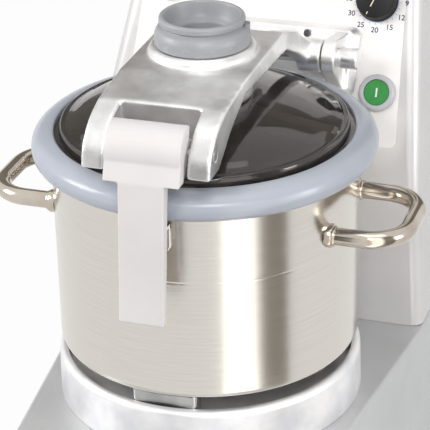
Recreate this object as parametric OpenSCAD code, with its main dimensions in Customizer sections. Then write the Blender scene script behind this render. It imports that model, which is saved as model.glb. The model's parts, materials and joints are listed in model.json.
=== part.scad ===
// Vertical cutter mixer for a worktop: a cast base with the motor, a column with the controls behind it,
// a steel bowl on a seat ring, and a smoked lid on a hinged cast arm that a front lever locks.
// Millimetres, +Z up, -Y is the front. The origin is on the worktop at the centre of the footprint.

/* [Machine] */
// Depth from the front of the base to the back of the column
machine_d = 560; // [540:5:600]
// Height of the column above the worktop
machine_h = 660; // [640:5:690]
// Height of the rubber feet
foot_h = 24; // [16:1:30]
// Height of the base's flat top above the worktop
base_top_z = 225; // [215:1:240]
// Distance of the bowl's axis behind the front of the base
bowl_setback = 230; // [220:1:240]

/* [Base] */
// Width of the base at the column
base_w = 350; // [345:1:360]
// Width of the base at its front
base_front_w = 286; // [270:1:300]
// How far the front leans back over its height
base_front_slope = 40; // [30:1:50]
// Radius of the base's front corners in plan
base_corner_r = 45; // [35:1:60]
// Radius of the rounded edge round the base's top
base_edge_r = 4; // [3:0.5:6]
// Wall of the base casting
base_wall = 5; // [4:0.5:7]
// Thickness of the steel bottom plate
bottom_plate_t = 2; // [1.5:0.5:3]
// Radius of each foot
foot_r = 18; // [14:1:22]
// Distance of each foot's axis in from the base's side
foot_inset = 22; // [20:1:26]
// Height of the bosses that the feet are screwed into
foot_boss_h = 40; // [30:1:60]

/* [Column] */
// How far each side of the column is set in from the base's side
column_step = 2; // [1:0.5:3]
// Width of the column at its top
column_top_w = 268; // [256:2:272]
// Width of the column at the fold in its front
column_fold_w = 332; // [326:2:338]
// Height of the fold in the column's front above the base's top
fold_rise = 171; // [160:1:180]
// Lean of the control face from the vertical, in degrees
panel_lean = 27.5; // [24:0.5:30]
// Radius of the column's upright corners
column_corner_r = 12; // [10:1:16]
// Radius of the column's top corners and edges
column_top_r = 16; // [14:1:20]
// Wall of the column casting
column_wall = 4; // [3:0.5:5]
// Gap between the seat ring and the column's front
column_gap = 2; // [1:0.5:6]
// Width of the rear cover
cover_w = 220; // [180:1:230]
// Height of the rear cover's lower edge above the base's top
cover_rise = 40; // [30:1:60]
// Height of the rear cover
cover_h = 330; // [280:5:340]
// Thickness of the rear cover
cover_t = 2; // [1.5:0.5:2.5]
// Width of the wall that the rear cover rests on
cover_lip = 12; // [10:1:16]
// Number of vent slots in each of the cover's two rows
vent_count = 9; // [5:1:12]
// Length of a vent slot
vent_l = 70; // [50:1:80]
// Width of a vent slot
vent_w = 6; // [4:0.5:8]
// Distance between vent slots
vent_pitch = 16; // [12:1:20]

/* [Controls] */
// Width of the white control plate at its foot
plate_w = 280; // [274:2:284]
// Width of the control plate at its top
plate_top_w = 262; // [246:2:266]
// Height of the control plate along the leaning face
plate_h = 190; // [180:2:200]
// Distance of the control plate's lower edge above the fold
plate_rise = 19; // [16:1:24]
// Thickness of the control plate
plate_t = 1; // [0.8:0.1:2]
// Corner radius of the control plate
plate_corner_r = 7; // [4:1:12]
// Distance of the buttons from the middle of the face
button_x = 117; // [113:0.5:119]
// Distance of the start and stop buttons above the fold
button_v = 71; // [68:1:76]
// Radius of a button
button_r = 12.4; // [10:0.1:13]
// Outer radius of the raised collar round a button
collar_r = 18; // [16:0.5:19]
// Height of the collar
collar_h = 8; // [7:0.5:10]
// Thickness of a button's face
button_t = 3; // [2:0.5:3.5]
// How far a button's face stays below its collar's edge
button_recess = 1; // [0.5:0.1:1.5]
// Travel of a button
button_travel = 3; // [2:0.1:3]
// Radius of a button's stem
stem_r = 5; // [4:0.5:6]
// Length of a button's stem
stem_l = 18; // [16:0.5:22]
// Distance of the knob from the middle of the face
knob_x = 106; // [100:1:108]
// Distance of the knob and the pulse button above the fold
knob_v = 160; // [155:1:168]
// Radius of the speed knob
knob_r = 20.5; // [18:0.5:22]
// Height of the speed knob
knob_h = 16; // [12:1:20]
// Gap between the knob and the plate
knob_gap = 1; // [0.5:0.1:2]
// Radius of the knob's spindle
spindle_r = 3; // [2.5:0.1:4]
// Radius of the speed potentiometer
pot_r = 12; // [10:0.5:14]
// Depth of the speed potentiometer
pot_h = 14; // [10:1:18]
// Side of a switch block
switch_w = 30; // [26:1:34]
// Depth of a switch block
switch_h = 24; // [22:1:30]

/* [Bowl seat] */
// Height of the bowl's bottom above the base's top
seat_rise = 58; // [54:1:62]
// Radius of the seat ring at its foot
seat_foot_r = 143.5; // [143:0.5:146]
// Radius of the seat ring under its rounded edge
seat_r = 142.5; // [141:0.5:143]
// Height of the seat ring
seat_h = 46; // [42:1:48]
// Radius of the seat ring's rounded edge
seat_edge_r = 6.5; // [3:0.5:7]
// Wall of the seat ring
seat_wall = 8; // [7:0.5:9]
// Height of the seat ring's floor above the base's top
seat_floor_rise = 30; // [26:1:34]
// Thickness of the seat ring's floor
seat_floor_t = 6; // [4:0.5:8]
// Radius of the hub in the middle of the seat
seat_hub_r = 24; // [22.5:0.5:24.5]
// Radius of the hub's bore
seat_bore_r = 19; // [18.5:0.5:20]
// How far the hub stands up into the bowl's tube
seat_hub_rise = 22; // [15:1:30]
// Radius of the circle that the seat's screws are on
seat_screw_circle_r = 106; // [104:1:108]
// Radius of the pillars round the seat's screws
seat_pillar_r = 9; // [8:0.5:10]
// Height of the shaft seal
shaft_seal_h = 9; // [7:0.5:12]

/* [Motor] */
// Radius of the motor's frame
motor_r = 88; // [84:1:89]
// Wall of the motor's frame
motor_wall = 4; // [3:0.5:5]
// Height of the motor's frame
motor_h = 125; // [115:1:128]
// Radius of the motor's end bells
bell_r = 102; // [100:1:106]
// Height of the upper end bell
upper_bell_h = 26; // [24:1:28]
// Height of the lower end bell
lower_bell_h = 16; // [14:1:18]
// Height of the stator
stator_h = 92; // [80:1:100]
// Inner radius of the stator
stator_bore_r = 55; // [50:1:60]
// Air gap round the rotor
air_gap = 0.7; // [0.5:0.1:1]
// Radius of the motor's shaft
shaft_r = 14; // [12:0.5:15]
// Outer radius of the bearings
bearing_r = 31; // [28:1:34]
// Height of a bearing
bearing_h = 14; // [12:0.5:14]
// Radius of the cooling fan
fan_r = 72; // [60:1:80]
// Height of the cooling fan
fan_h = 12; // [8:1:12]
// Number of the fan's blades
fan_blades = 10; // [6:1:14]
// Radius of the circle that the motor's tie bolts are on
tie_circle_r = 95; // [94:0.5:96]
// Radius of a tie bolt
tie_r = 3; // [2.5:0.1:3.5]

/* [Bowl] */
// Outer radius of the bowl
bowl_r = 140; // [139:0.5:141]
// Height of the bowl
bowl_h = 182; // [172:1:192]
// Wall of the bowl
bowl_wall = 2; // [1.5:0.1:2.5]
// Radius of the edge between the bowl's side and its bottom
bowl_edge_r = 7; // [5:0.5:12]
// How far the bowl's rim turns outwards
rim_out = 3; // [2:0.5:5]
// Outer radius of the tube in the middle of the bowl
bowl_tube_r = 27; // [27:0.5:28]
// Wall of that tube
bowl_tube_wall = 2; // [1.5:0.1:2]
// Height of that tube
bowl_tube_h = 112; // [100:1:114]
// Width of each locating foot under the bowl
bowl_foot_w = 62; // [50:1:70]
// Depth of each locating foot
bowl_foot_d = 16; // [12:1:20]
// Distance of a foot's outer face from the bowl's axis
bowl_foot_r = 132; // [128:1:132]
// Height of the handles above the bowl's bottom
handle_z = 135; // [120:1:150]
// Distance of the handles' bars from the bowl's axis
handle_reach = 194; // [188:1:205]
// Distance between the two legs of a handle
handle_span = 98; // [90:1:110]
// Radius of the handle's rod
handle_r = 8; // [6:0.5:8]
// Bend radius of the handle's rod
handle_bend_r = 34; // [16:1:40]
// Radius of the welded flange at each end of a handle
flange_r = 11; // [10:0.5:14]
// Thickness of that flange
flange_t = 4; // [3:0.5:6]
// Width of the catch welded to the front of the bowl
catch_w = 30; // [24:1:36]
// Height of the catch
catch_h = 16; // [12:1:20]
// Height of the catch's lower edge above the bowl's bottom
catch_z = 152; // [148:1:156]
// How far the catch stands out of the bowl
catch_out = 6.5; // [5:0.5:8]

/* [Blades] */
// Outer radius of the blade hub
hub_r = 34; // [33:0.5:36]
// Running gap between the blade hub and the bowl's tube
hub_gap = 2; // [1:0.1:3]
// Height of the blade hub's lower end above the bowl's floor
hub_lift = 3; // [1:0.5:5]
// Height of the blade hub
hub_h = 128; // [126:1:134]
// Thickness of the blade hub's closed top
hub_top_t = 10; // [8:1:11]
// Height of the hub's cap
hub_cap_h = 10; // [8:1:14]
// Reach of the blades from the axis
blade_reach = 131; // [120:1:134]
// Thickness of a blade
blade_t = 3; // [2:0.5:4]
// Width of a blade at its root
blade_root_w = 36; // [28:1:40]
// Width of the ring that holds a blade to the hub
blade_ring_w = 8; // [6:0.5:10]
// Height of the lower blade above the hub's lower end
lower_blade_rise = 4; // [3:0.5:8]
// Height of the upper blade above the hub's lower end
upper_blade_rise = 62; // [50:1:68]

/* [Lid ring and window] */
// Gap between the seal ring and the bowl's rim
rim_gap = 0.3; // [0.2:0.1:0.5]
// Height of the seal ring
seal_h = 26; // [24:1:28]
// Largest radius of the seal ring
seal_r = 157.4; // [156:0.2:158]
// Radius of the seal ring's lower outer edge
seal_foot_r = 151; // [148:0.5:153]
// Height of the seal ring's widest place above its foot
seal_wide_rise = 11; // [9:0.5:13]
// Inner radius of the seal ring at its top
seal_top_r = 136.3; // [135:0.1:137]
// Radius of the seal ring's inner wall
seal_bore_r = 133; // [132:0.5:134]
// Gap between the seal's lip and the bowl's wall
lip_gap = 1.5; // [1.2:0.1:2]
// Depth of the seal's lip inside the bowl
lip_h = 4; // [3:0.5:5]
// Depth of the groove in the seal that holds the window's edge
groove_d = 5; // [4:0.5:6]
// Height of the window's flange above the seal's foot
window_rise = 17.5; // [17:0.5:18]
// Thickness of the window
window_t = 4; // [3:0.5:4.5]
// Radius of the window's upright neck
neck_r = 131; // [129:0.5:132]
// Height of the neck above the flange
neck_rise = 13.5; // [12:0.5:14]
// Radius of the window's shoulder
shoulder_r = 122; // [119:0.5:124]
// Height of the shoulder above the flange
shoulder_rise = 23; // [22:0.5:24]
// Radius of the flat crown in the middle of the window
crown_r = 50; // [48:1:52]
// Height of the crown above the flange
crown_rise = 36.5; // [35:0.5:37.5]

/* [Lid arm] */
// Width of the lid arm
arm_w = 114; // [110:1:116]
// Height of the arm's top above the bowl's rim
arm_rise = 95; // [93:1:98]
// Thickness of the arm's plate
arm_t = 14; // [12:1:16]
// Distance of the plate's rear edge behind the bowl's axis
arm_back = 62; // [58:1:66]
// Distance of the slot's rear edge in front of the bowl's axis
slot_front = 111; // [108:1:113]
// Gap on each side between the slot and the lever
slot_gap = 2.5; // [1.5:0.1:3]
// Distance of the hinge pin behind the bowl's axis
hinge_back = 152; // [150:1:156]
// Height of the hinge pin above the bowl's rim
hinge_rise = 38; // [36:1:40]
// Radius of the hinge pin
hinge_pin_r = 8; // [7:0.5:9]
// Radius of the arm's hinge bosses
ear_r = 16; // [15:0.5:17]
// Distance from the middle to the outer face of the arm's bosses
ear_x = 70; // [69:0.5:70.5]
// Length of the arm's bosses
ear_l = 24; // [20:1:26]
// Wall of the hinge bushes
bush_wall = 2; // [1.5:0.5:3]
// Radius of the raised ring round the funnel
boss_ring_r = 48.5; // [47.5:0.5:50]
// Height of the raised ring
boss_ring_h = 8.5; // [7:0.5:10]
// Outer radius of the arm's hub below its plate
arm_hub_r = 44; // [42:1:46]
// Radius of the bore through the arm's hub
arm_bore_r = 36; // [35.5:0.5:37]
// Thickness of the ribs under the arm
rib_t = 8; // [6:1:10]

/* [Hinge bracket] */
// Width of the bracket's plate
bracket_w = 188; // [184:2:189]
// Height of the bracket's plate along the leaning face
bracket_h = 70; // [66:1:74]
// Distance of the bracket's lower edge above the fold
bracket_v = 63; // [60:1:66]
// Thickness of the bracket's plate
bracket_t = 14; // [10:1:15]
// Width of the slope round the bracket's plate
bracket_slope = 6; // [4:1:9]
// Corner radius of the bracket's plate
bracket_corner_r = 10; // [9:1:12]
// Gap between the bracket's lugs and the arm's bosses
lug_gap = 0.8; // [0.4:0.1:1.5]
// Thickness of the bracket's lugs
lug_t = 13; // [10:1:14]
// Radius of the lugs round the pin
lug_r = 17.5; // [15:0.5:18]
// Radius of the pin's head
pin_head_r = 10.2; // [9.5:0.1:11]
// Length of the pin's head
pin_head_l = 20; // [12:1:22]
// Distance of the bracket's screws from the middle
bracket_screw_x = 43; // [36:1:50]
// Distance between the upper and the lower row of bracket screws
bracket_screw_span = 46; // [40:1:50]

/* [Latch lever] */
// Distance of the lever's pivot in front of the bowl's axis
lever_front = 140; // [139:0.5:141]
// Height of the lever's pivot above the bowl's rim
lever_rise = 61; // [59:1:63]
// Width of the lever's head
lever_head_w = 68; // [64:1:70]
// Width of the lever's blade
lever_w = 41; // [36:1:46]
// Radius of the lever's curved head
lever_head_r = 24; // [23:0.5:25]
// Height of the lever's head below its pivot
lever_head_drop = 21; // [18:1:24]
// Length of the lever below its pivot
lever_l = 148; // [140:1:155]
// How far the lever's lower end stands in front of its pivot
lever_out = 40; // [38:1:44]
// How far the lever's front stands before its pivot under the head
lever_chest = 29; // [28:0.5:30]
// Thickness of the lever at its lower end
lever_tip_t = 6.5; // [5:0.5:8]
// Thickness of the lever at the seal ring
lever_root_t = 12.5; // [11:0.5:13]
// Radius of the lever's pin
lever_pin_r = 4.5; // [4:0.5:5]
// Radius of the lever's boss round its pin
lever_boss_r = 12; // [10:0.5:13]
// Width of the hook on the back of the lever
hook_w = 34; // [26:1:36]
// Thickness of the hook's steel
hook_t = 2.5; // [2:0.5:3]

/* [Feed funnel and wiper] */
// Radius of the funnel's skirt
skirt_r = 43; // [42:0.5:44]
// Height of the skirt
skirt_h = 16; // [14:1:18]
// Radius of the funnel's rim
rim_r = 38.5; // [37.5:0.5:39.5]
// Height of the rim
rim_h = 7; // [5:0.5:9]
// Inner radius of the funnel's mouth
mouth_r = 34; // [33:0.5:35]
// Height of the neck between skirt and rim
neck_h = 2.5; // [2:0.5:4]
// Depth of the groove at the neck
neck_groove = 1.8; // [1:0.1:2.5]
// Outer radius of the feed tube
feed_tube_r = 30; // [29:0.5:31]
// Inner radius of the feed tube
feed_bore_r = 26; // [24:0.5:27]
// Running gap round the feed tube
feed_gap = 0.4; // [0.3:0.1:0.6]
// Thickness of the clamp ring's flange under the window
clamp_t = 5; // [4:0.5:6]
// Height of the wiper's hub
wiper_hub_h = 18; // [14:1:20]
// Radius of the wiper's hub
wiper_hub_r = 36; // [35:0.5:38]
// Reach of the wiper's arm
wiper_reach = 122; // [114:1:124]
// Width of the wiper's arm
wiper_w = 14; // [10:1:18]
// Height of the wiper's arm
wiper_bar_h = 12; // [10:1:13]
// Length of the scraper that hangs from the wiper's arm
scraper_l = 29; // [24:1:50]
// Distance of the scraper's edge from the axis
scraper_r = 131; // [128:0.5:131.5]
// Thickness of the scraper's rubber
scraper_t = 5; // [4:0.5:6]

/* [Electronics] */
// Width of the inverter board
board_w = 200; // [160:1:220]
// Height of the inverter board
board_h = 120; // [100:1:130]
// Thickness of the inverter board
board_t = 2; // [1.5:0.1:2.5]
// Length of the board's standoffs
standoff_l = 12; // [8:1:16]
// Height of the board's lower edge above the base's top
board_rise = 30; // [20:1:36]
// Depth of the heat sink
sink_d = 40; // [30:1:50]
// Width of the heat sink
sink_w = 110; // [90:1:120]
// Height of the heat sink
sink_h = 80; // [60:1:90]
// Number of the heat sink's fins
fin_count = 9; // [6:1:12]
// Thickness of a fin
fin_t = 3; // [2:0.5:4]
// Radius of a capacitor
cap_r = 13; // [10:0.5:15]
// Height of a capacitor
cap_h = 38; // [30:1:45]
// How far the cable gland stands out of the base's back
gland_out = 20; // [16:1:24]
// Radius of the cable gland's bore
gland_bore_r = 5; // [4:0.5:6]
// Distance of the cable gland from the middle
gland_x = 105; // [90:1:120]
// Height of the cable gland above the worktop
gland_z = 85; // [75:1:100]

/* [Hidden] */
$fn = 96;

// Facets of the rounded forms that are wrapped round the housings
form_fn = 32;
// Straight steps in each rounded corner of an outline
corner_steps = 6;
// Overrun of every cut
cut = 1;
// Thickness of the thin slabs that a wrapped form ends in
skin = 0.5;
// Gap between parts that slide or turn past each other
slip = 0.3;
// Radial clearance of a pin or shaft in its bearing
running_fit = 0.05;
// Screws: shank radius, head radius and head height
screw_r = 3;
screw_head_r = 5.5;
screw_head_h = 5;
small_screw_r = 2;
small_head_r = 3.6;
small_head_h = 1.8;
// Depth and width of a screw's hexagon socket as shares of its head
key_depth_share = 0.5;
key_width_share = 0.5;

front_y = -(machine_d + gland_out) / 2;
rear_y = front_y + machine_d;
bowl_y = front_y + bowl_setback;
bowl_z = base_top_z + seat_rise;
lid_z = bowl_z + bowl_h + rim_gap;
column_w = base_w - 2 * column_step;
column_front_y = bowl_y + seat_foot_r + column_gap;
fold_z = base_top_z + fold_rise;
hinge_y = bowl_y + hinge_back;
hinge_z = lid_z + hinge_rise;
lever_y = bowl_y - lever_front;
lever_z = lid_z + lever_rise;

// Direction helpers and the rounded outline that every profile uses
function unit(v) = v / norm(v);
function fillet(a, b, c, r) =
    let (
        u = unit(a - b),
        w = unit(c - b),
        half = acos(u * w) / 2,
        m = b + unit(u + w) * r / sin(half),
        p = b + u * r / tan(half),
        q = b + w * r / tan(half),
        from = atan2(p[1] - m[1], p[0] - m[0]),
        to = atan2(q[1] - m[1], q[0] - m[0]),
        turn = (to - from + 540) % 360 - 180
    )
    [for (i = [0:corner_steps]) let (a = from + turn * i / corner_steps) m + r * [cos(a), sin(a)]];
function rounded(pts, radii) =
    let (n = len(pts))
    [for (i = [0:n - 1])
        let (a = pts[(i + n - 1) % n], c = pts[(i + 1) % n])
            for (p = radii[i] > 0 ? fillet(a, pts[i], c, radii[i]) : [pts[i]]) p];

module at_bowl(rise = 0) {
    translate([0, bowl_y, bowl_z + rise]) children();
}

module at_motor(z) {
    translate([0, bowl_y, z]) children();
}

module at_lid(rise = 0) {
    translate([0, bowl_y, lid_z + rise]) children();
}

// Places children on the leaning control face: X across, Y up the face, Z out of it
module on_panel(x, v, out = 0) {
    translate([0, column_front_y, fold_z]) rotate([90 - panel_lean, 0, 0]) translate([x, v, out]) children();
}

// Extrudes an outline drawn in Y and Z across X, centred on the middle
module across(w) {
    rotate([90, 0, 90]) translate([0, 0, -w / 2]) linear_extrude(w) children();
}

module pipe(r_out, r_in, h) {
    difference() {
        cylinder(r = r_out, h = h);
        translate([0, 0, -cut]) cylinder(r = r_in, h = h + 2 * cut);
    }
}

module on_circle(count, radius, start = 0) {
    for (i = [0:count - 1]) rotate([0, 0, start + 360 * i / count]) translate([radius, 0, 0]) children();
}

// A socket screw with its head's underside at zero and its shank hanging down
module screw(l, r = screw_r, head_r = screw_head_r, head_h = screw_head_h) {
    difference() {
        union() {
            cylinder(r = head_r, h = head_h);
            translate([0, 0, -l]) cylinder(r = r, h = l + head_h / 2);
        }
        translate([0, 0, head_h - head_h * key_depth_share])
            cylinder(r = head_r * key_width_share, h = head_h, $fn = 6);
    }
}

// How the base widens from its front corners to the column, and half its width at a place between
base_taper = (base_w - base_front_w) / 2 / (column_front_y - front_y - base_corner_r);
function base_half_w(y) = min(base_w / 2, base_front_w / 2 + base_taper * (y - front_y - base_corner_r));
foot_places = [
    for (y = [front_y + base_corner_r, rear_y - foot_inset]) for (s = [-1, 1])
        [s * (base_half_w(y) - foot_inset), y]
];
foot_boss_r = foot_inset - base_wall / 2;
foot_screw_l = 20;
foot_tip_share = 0.85;
// Opening between the base and the column for the motor's leads
duct_r = 22;
duct_y = column_front_y + column_wall + standoff_l + board_t + sink_d + duct_r;
bell_spigot_r = 60;
gland_thread_r = 9;

// A disc with a rounded top edge, or a plain one where it is a wrapped form's inner side
module corner_disc(r, edge, inset) {
    if (inset > 0) translate([0, 0, -inset]) cylinder(r = r - inset, h = edge, $fn = form_fn);
    else rotate_extrude($fn = form_fn) translate([r - edge, 0]) circle(r = edge, $fn = form_fn);
}

module base_form(inset, low) {
    top = base_top_z - base_edge_r;
    hull() for (s = [-1, 1]) {
        translate([s * (base_front_w / 2 - base_corner_r), front_y + base_corner_r, low])
            cylinder(r = base_corner_r - inset, h = skin, $fn = form_fn);
        translate([s * (base_front_w / 2 - base_corner_r), front_y + base_front_slope + base_corner_r, top])
            corner_disc(base_corner_r, base_edge_r, inset);
        for (y = [column_front_y, rear_y - column_corner_r]) {
            translate([s * (base_w / 2 - column_corner_r), y, low])
                cylinder(r = column_corner_r - inset, h = skin, $fn = form_fn);
            translate([s * (base_w / 2 - column_corner_r), y, top])
                corner_disc(column_corner_r, base_edge_r, inset);
        }
    }
}

module base_housing() {
    deep = 2 * base_wall + cut;
    color("#c9c8c6") difference() {
        union() {
            difference() {
                base_form(0, foot_h);
                base_form(base_wall, foot_h - cut);
            }
            for (p = foot_places) translate([p[0], p[1], foot_h + bottom_plate_t])
                cylinder(r = foot_boss_r, h = foot_boss_h);
        }
        translate([0, 0, base_top_z - 2 * base_wall]) {
            translate([0, bowl_y, 0]) {
                cylinder(r = bell_spigot_r, h = deep);
                on_circle(4, tie_circle_r, 45) cylinder(r = screw_r, h = deep);
                on_circle(4, seat_screw_circle_r) cylinder(r = screw_r, h = deep);
            }
            translate([0, duct_y, 0]) cylinder(r = duct_r, h = deep);
        }
        for (p = foot_places) translate([p[0], p[1], foot_h]) cylinder(r = screw_r, h = foot_screw_l);
        translate([gland_x, rear_y - 2 * base_wall, gland_z]) rotate([-90, 0, 0])
            cylinder(r = gland_thread_r, h = deep);
    }
}

// The plate follows the inside of the base's walls
module bottom_plate() {
    in = base_wall + 2 * slip;
    front_r = base_corner_r - in;
    rear_r = column_corner_r - in;
    color("#b4b4b2") difference() {
        translate([0, 0, foot_h]) linear_extrude(bottom_plate_t) polygon(rounded([
            [-base_half_w(front_y) + in, front_y + in],
            [base_half_w(front_y) - in, front_y + in],
            [base_w / 2 - in, column_front_y],
            [base_w / 2 - in, rear_y - in],
            [-base_w / 2 + in, rear_y - in],
            [-base_w / 2 + in, column_front_y]
        ], [front_r, front_r, 0, rear_r, rear_r, 0]));
        for (p = foot_places) translate([p[0], p[1], foot_h - cut])
            cylinder(r = screw_r, h = bottom_plate_t + 2 * cut);
    }
}

// Feet taper to the worktop and are bored from below for their screws' heads
module feet() {
    color("#2b2b2c") for (p = foot_places) translate([p[0], p[1], 0]) difference() {
        rotate_extrude() polygon([
            [0, 0],
            [foot_r * foot_tip_share, 0],
            [foot_r, foot_h * foot_tip_share],
            [foot_r, foot_h],
            [0, foot_h]
        ]);
        translate([0, 0, -cut]) cylinder(r = screw_head_r + slip, h = foot_h / 2 + cut);
        cylinder(r = screw_r, h = foot_h + cut);
    }
}

module foot_screws() {
    color("#9a9a98") for (p = foot_places) translate([p[0], p[1], foot_h / 2]) mirror([0, 0, 1])
        screw(foot_screw_l + foot_h / 2);
}

// Height up the leaning face at which it meets the column's rounded top
column_top_v = (machine_h - fold_z - column_top_r * (1 - sin(panel_lean))) / cos(panel_lean);
module column_form(inset, low) {
    r = column_corner_r;
    t = column_top_r;
    hull() {
        for (s = [-1, 1]) {
            for (y = [column_front_y + r, rear_y - r]) {
                translate([s * (column_w / 2 - r), y, low]) cylinder(r = r - inset, h = skin, $fn = form_fn);
                translate([s * (column_fold_w / 2 - r), y, fold_z - skin])
                    cylinder(r = r - inset, h = skin, $fn = form_fn);
            }
            translate([s * (column_top_w / 2 - t), rear_y - t, machine_h - t])
                sphere(r = t - inset, $fn = form_fn);
            on_panel(s * (column_top_w / 2 - t), column_top_v, -t) sphere(r = t - inset, $fn = form_fn);
        }
        on_panel(-column_fold_w / 2 + r, 0, -inset - skin) cube([column_fold_w - 2 * r, skin, skin]);
        on_panel(-column_top_w / 2 + t, column_top_v, -inset - skin) cube([column_top_w - 2 * t, skin, skin]);
    }
}

bracket_mid_v = bracket_v + bracket_h / 2;
bracket_screw_places = [
    for (s = [-1, 1]) for (u = [-1, 1]) [s * bracket_screw_x, bracket_mid_v + u * bracket_screw_span / 2]
];
button_places = [[button_x, button_v], [-button_x, button_v], [-knob_x, knob_v]];
cover_screw_places = [
    for (s = [-1, 1]) for (u = [0:2])
        [s * (cover_w - cover_lip) / 2, cover_rise + cover_lip / 2 + (cover_h - cover_lip) * u / 2]
];

// Holes through the leaning face for everything that is fixed to it
module panel_holes(deep, over) {
    for (p = bracket_screw_places) on_panel(p[0], p[1], -deep) cylinder(r = screw_r, h = deep + over);
    for (p = button_places) on_panel(p[0], p[1], -deep) cylinder(r = stem_r + slip, h = deep + over);
    on_panel(knob_x, knob_v, -deep) cylinder(r = spindle_r + slip, h = deep + over);
}

module column_housing() {
    low = base_top_z + cover_rise;
    deep = 2 * column_wall;
    color("#dcdad8") difference() {
        column_form(0, base_top_z);
        column_form(column_wall, base_top_z - cut);
        translate([-cover_w / 2, rear_y - cover_t, low]) cube([cover_w, cover_t + cut, cover_h]);
        translate([-cover_w / 2 + cover_lip, rear_y - deep, low + cover_lip])
            cube([cover_w - 2 * cover_lip, 2 * deep, cover_h - 2 * cover_lip]);
        for (p = cover_screw_places) translate([p[0], rear_y - deep, base_top_z + p[1]]) rotate([-90, 0, 0])
            cylinder(r = small_screw_r, h = deep);
        panel_holes(deep, cut);
    }
}

module rear_cover() {
    low = base_top_z + cover_rise;
    row_x = (cover_w / 2 - cover_lip) / 2;
    color("#d2d1cf") difference() {
        translate([-cover_w / 2 + slip, rear_y - cover_t, low + slip])
            cube([cover_w - 2 * slip, cover_t, cover_h - 2 * slip]);
        for (s = [-1, 1]) for (i = [0:vent_count - 1]) translate([
            s * row_x - vent_l / 2,
            rear_y - cover_t - cut,
            low + cover_h / 2 + (i - (vent_count - 1) / 2) * vent_pitch - vent_w / 2
        ]) cube([vent_l, cover_t + 2 * cut, vent_w]);
        for (p = cover_screw_places) translate([p[0], rear_y - cover_t - cut, base_top_z + p[1]])
            rotate([-90, 0, 0]) cylinder(r = small_screw_r, h = cover_t + 2 * cut);
    }
}

module cover_screws() {
    color("#8c8c8a") for (p = cover_screw_places) translate([p[0], rear_y, base_top_z + p[1]])
        rotate([-90, 0, 0]) screw(column_wall, small_screw_r, small_head_r, small_head_h);
}

module control_plate() {
    r = plate_corner_r;
    color("#f7f5f2") difference() {
        on_panel(0, plate_rise) linear_extrude(plate_t) polygon(rounded([
            [-plate_w / 2, 0],
            [plate_w / 2, 0],
            [plate_top_w / 2, plate_h],
            [-plate_top_w / 2, plate_h]
        ], [r, r, r, r]));
        panel_holes(cut, plate_t + cut);
    }
}

module button_collars() {
    bore = button_r + slip;
    color("#b6b6be") for (p = button_places) on_panel(p[0], p[1], plate_t) rotate_extrude() polygon(rounded(
        [[bore, 0], [collar_r, 0], [collar_r, collar_h], [bore, collar_h]],
        [0, 0, collar_edge_r, 0]
    ));
}
collar_edge_r = 2.5;

// A round face on a stem that reaches into its switch block behind the plate
button_out = plate_t + collar_h - button_recess - button_t;
module button(p) {
    on_panel(p[0], p[1], button_out) {
        cylinder(r = button_r, h = button_t);
        translate([0, 0, -stem_l]) cylinder(r = stem_r, h = stem_l);
    }
}
module start_button() { color("#3c8f42") button(button_places[0]); }
module stop_button() { color("#b3262a") button(button_places[1]); }
module pulse_button() { color("#1d1d1e") button(button_places[2]); }

module switch_blocks() {
    stem_in = stem_l - button_out + button_travel + slip - column_wall;
    color("#303236") for (p = button_places) on_panel(p[0], p[1], -column_wall - switch_h) difference() {
        translate([-switch_w / 2, -switch_w / 2, 0]) cube([switch_w, switch_w, switch_h]);
        translate([0, 0, switch_h - stem_in]) cylinder(r = stem_r + slip, h = stem_in + cut);
    }
}

module speed_knob() {
    color("#191918") on_panel(knob_x, knob_v, plate_t + knob_gap) difference() {
        rotate_extrude() polygon(rounded(
            [[0, 0], [knob_r, 0], [knob_r * knob_taper_share, knob_h], [0, knob_h]],
            [0, 0, knob_edge_r, 0]
        ));
        translate([0, 0, -cut]) cylinder(r = spindle_r, h = knob_h / 2 + cut);
    }
}
knob_taper_share = 0.93;
knob_edge_r = 2;

module knob_spindle() {
    out = plate_t + knob_gap + knob_h / 2;
    color("#a9a9a7") on_panel(knob_x, knob_v, -column_wall - pot_h / 2)
        cylinder(r = spindle_r, h = column_wall + pot_h / 2 + out);
}

module speed_potentiometer() {
    color("#3a4a3c") on_panel(knob_x, knob_v, -column_wall - pot_h) difference() {
        cylinder(r = pot_r, h = pot_h);
        translate([0, 0, pot_h / 2 - slip]) cylinder(r = spindle_r + running_fit, h = pot_h);
    }
}

// The seat ring: a rounded rim round a sunken floor, with a hub that stands up into the bowl's tube
seat_floor_z = base_top_z + seat_floor_rise;
module bowl_seat_ring() {
    wall_r = seat_r - seat_wall;
    under = seat_floor_rise - seat_floor_t;
    color("#c4c5c9") at_motor(base_top_z) difference() {
        union() {
            rotate_extrude($fn = 180) polygon(rounded([
                [seat_foot_r, 0],
                [seat_r, seat_h],
                [wall_r, seat_h],
                [wall_r, seat_floor_rise],
                [seat_hub_r, seat_floor_rise],
                [seat_hub_r, seat_rise + seat_hub_rise],
                [seat_bore_r, seat_rise + seat_hub_rise],
                [seat_bore_r, under],
                [wall_r - seat_floor_t, under],
                [wall_r, 0]
            ], [0, seat_edge_r, seat_wall - seat_edge_r - skin, 0, 0, 0, 0, 0, 0, 0]));
            on_circle(4, seat_screw_circle_r) cylinder(r = seat_pillar_r, h = under + seat_floor_t / 2);
        }
        translate([0, 0, -cut]) on_circle(4, seat_screw_circle_r)
            cylinder(r = screw_r, h = seat_floor_rise + 2 * cut);
    }
}

module seat_ring_screws() {
    color("#8f8f8d") at_motor(seat_floor_z) on_circle(4, seat_screw_circle_r)
        screw(seat_floor_rise + base_wall);
}

module shaft_seal() {
    color("#26262a") at_motor(seat_floor_z) pipe(seat_bore_r, shaft_r + running_fit, shaft_seal_h);
}

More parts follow.
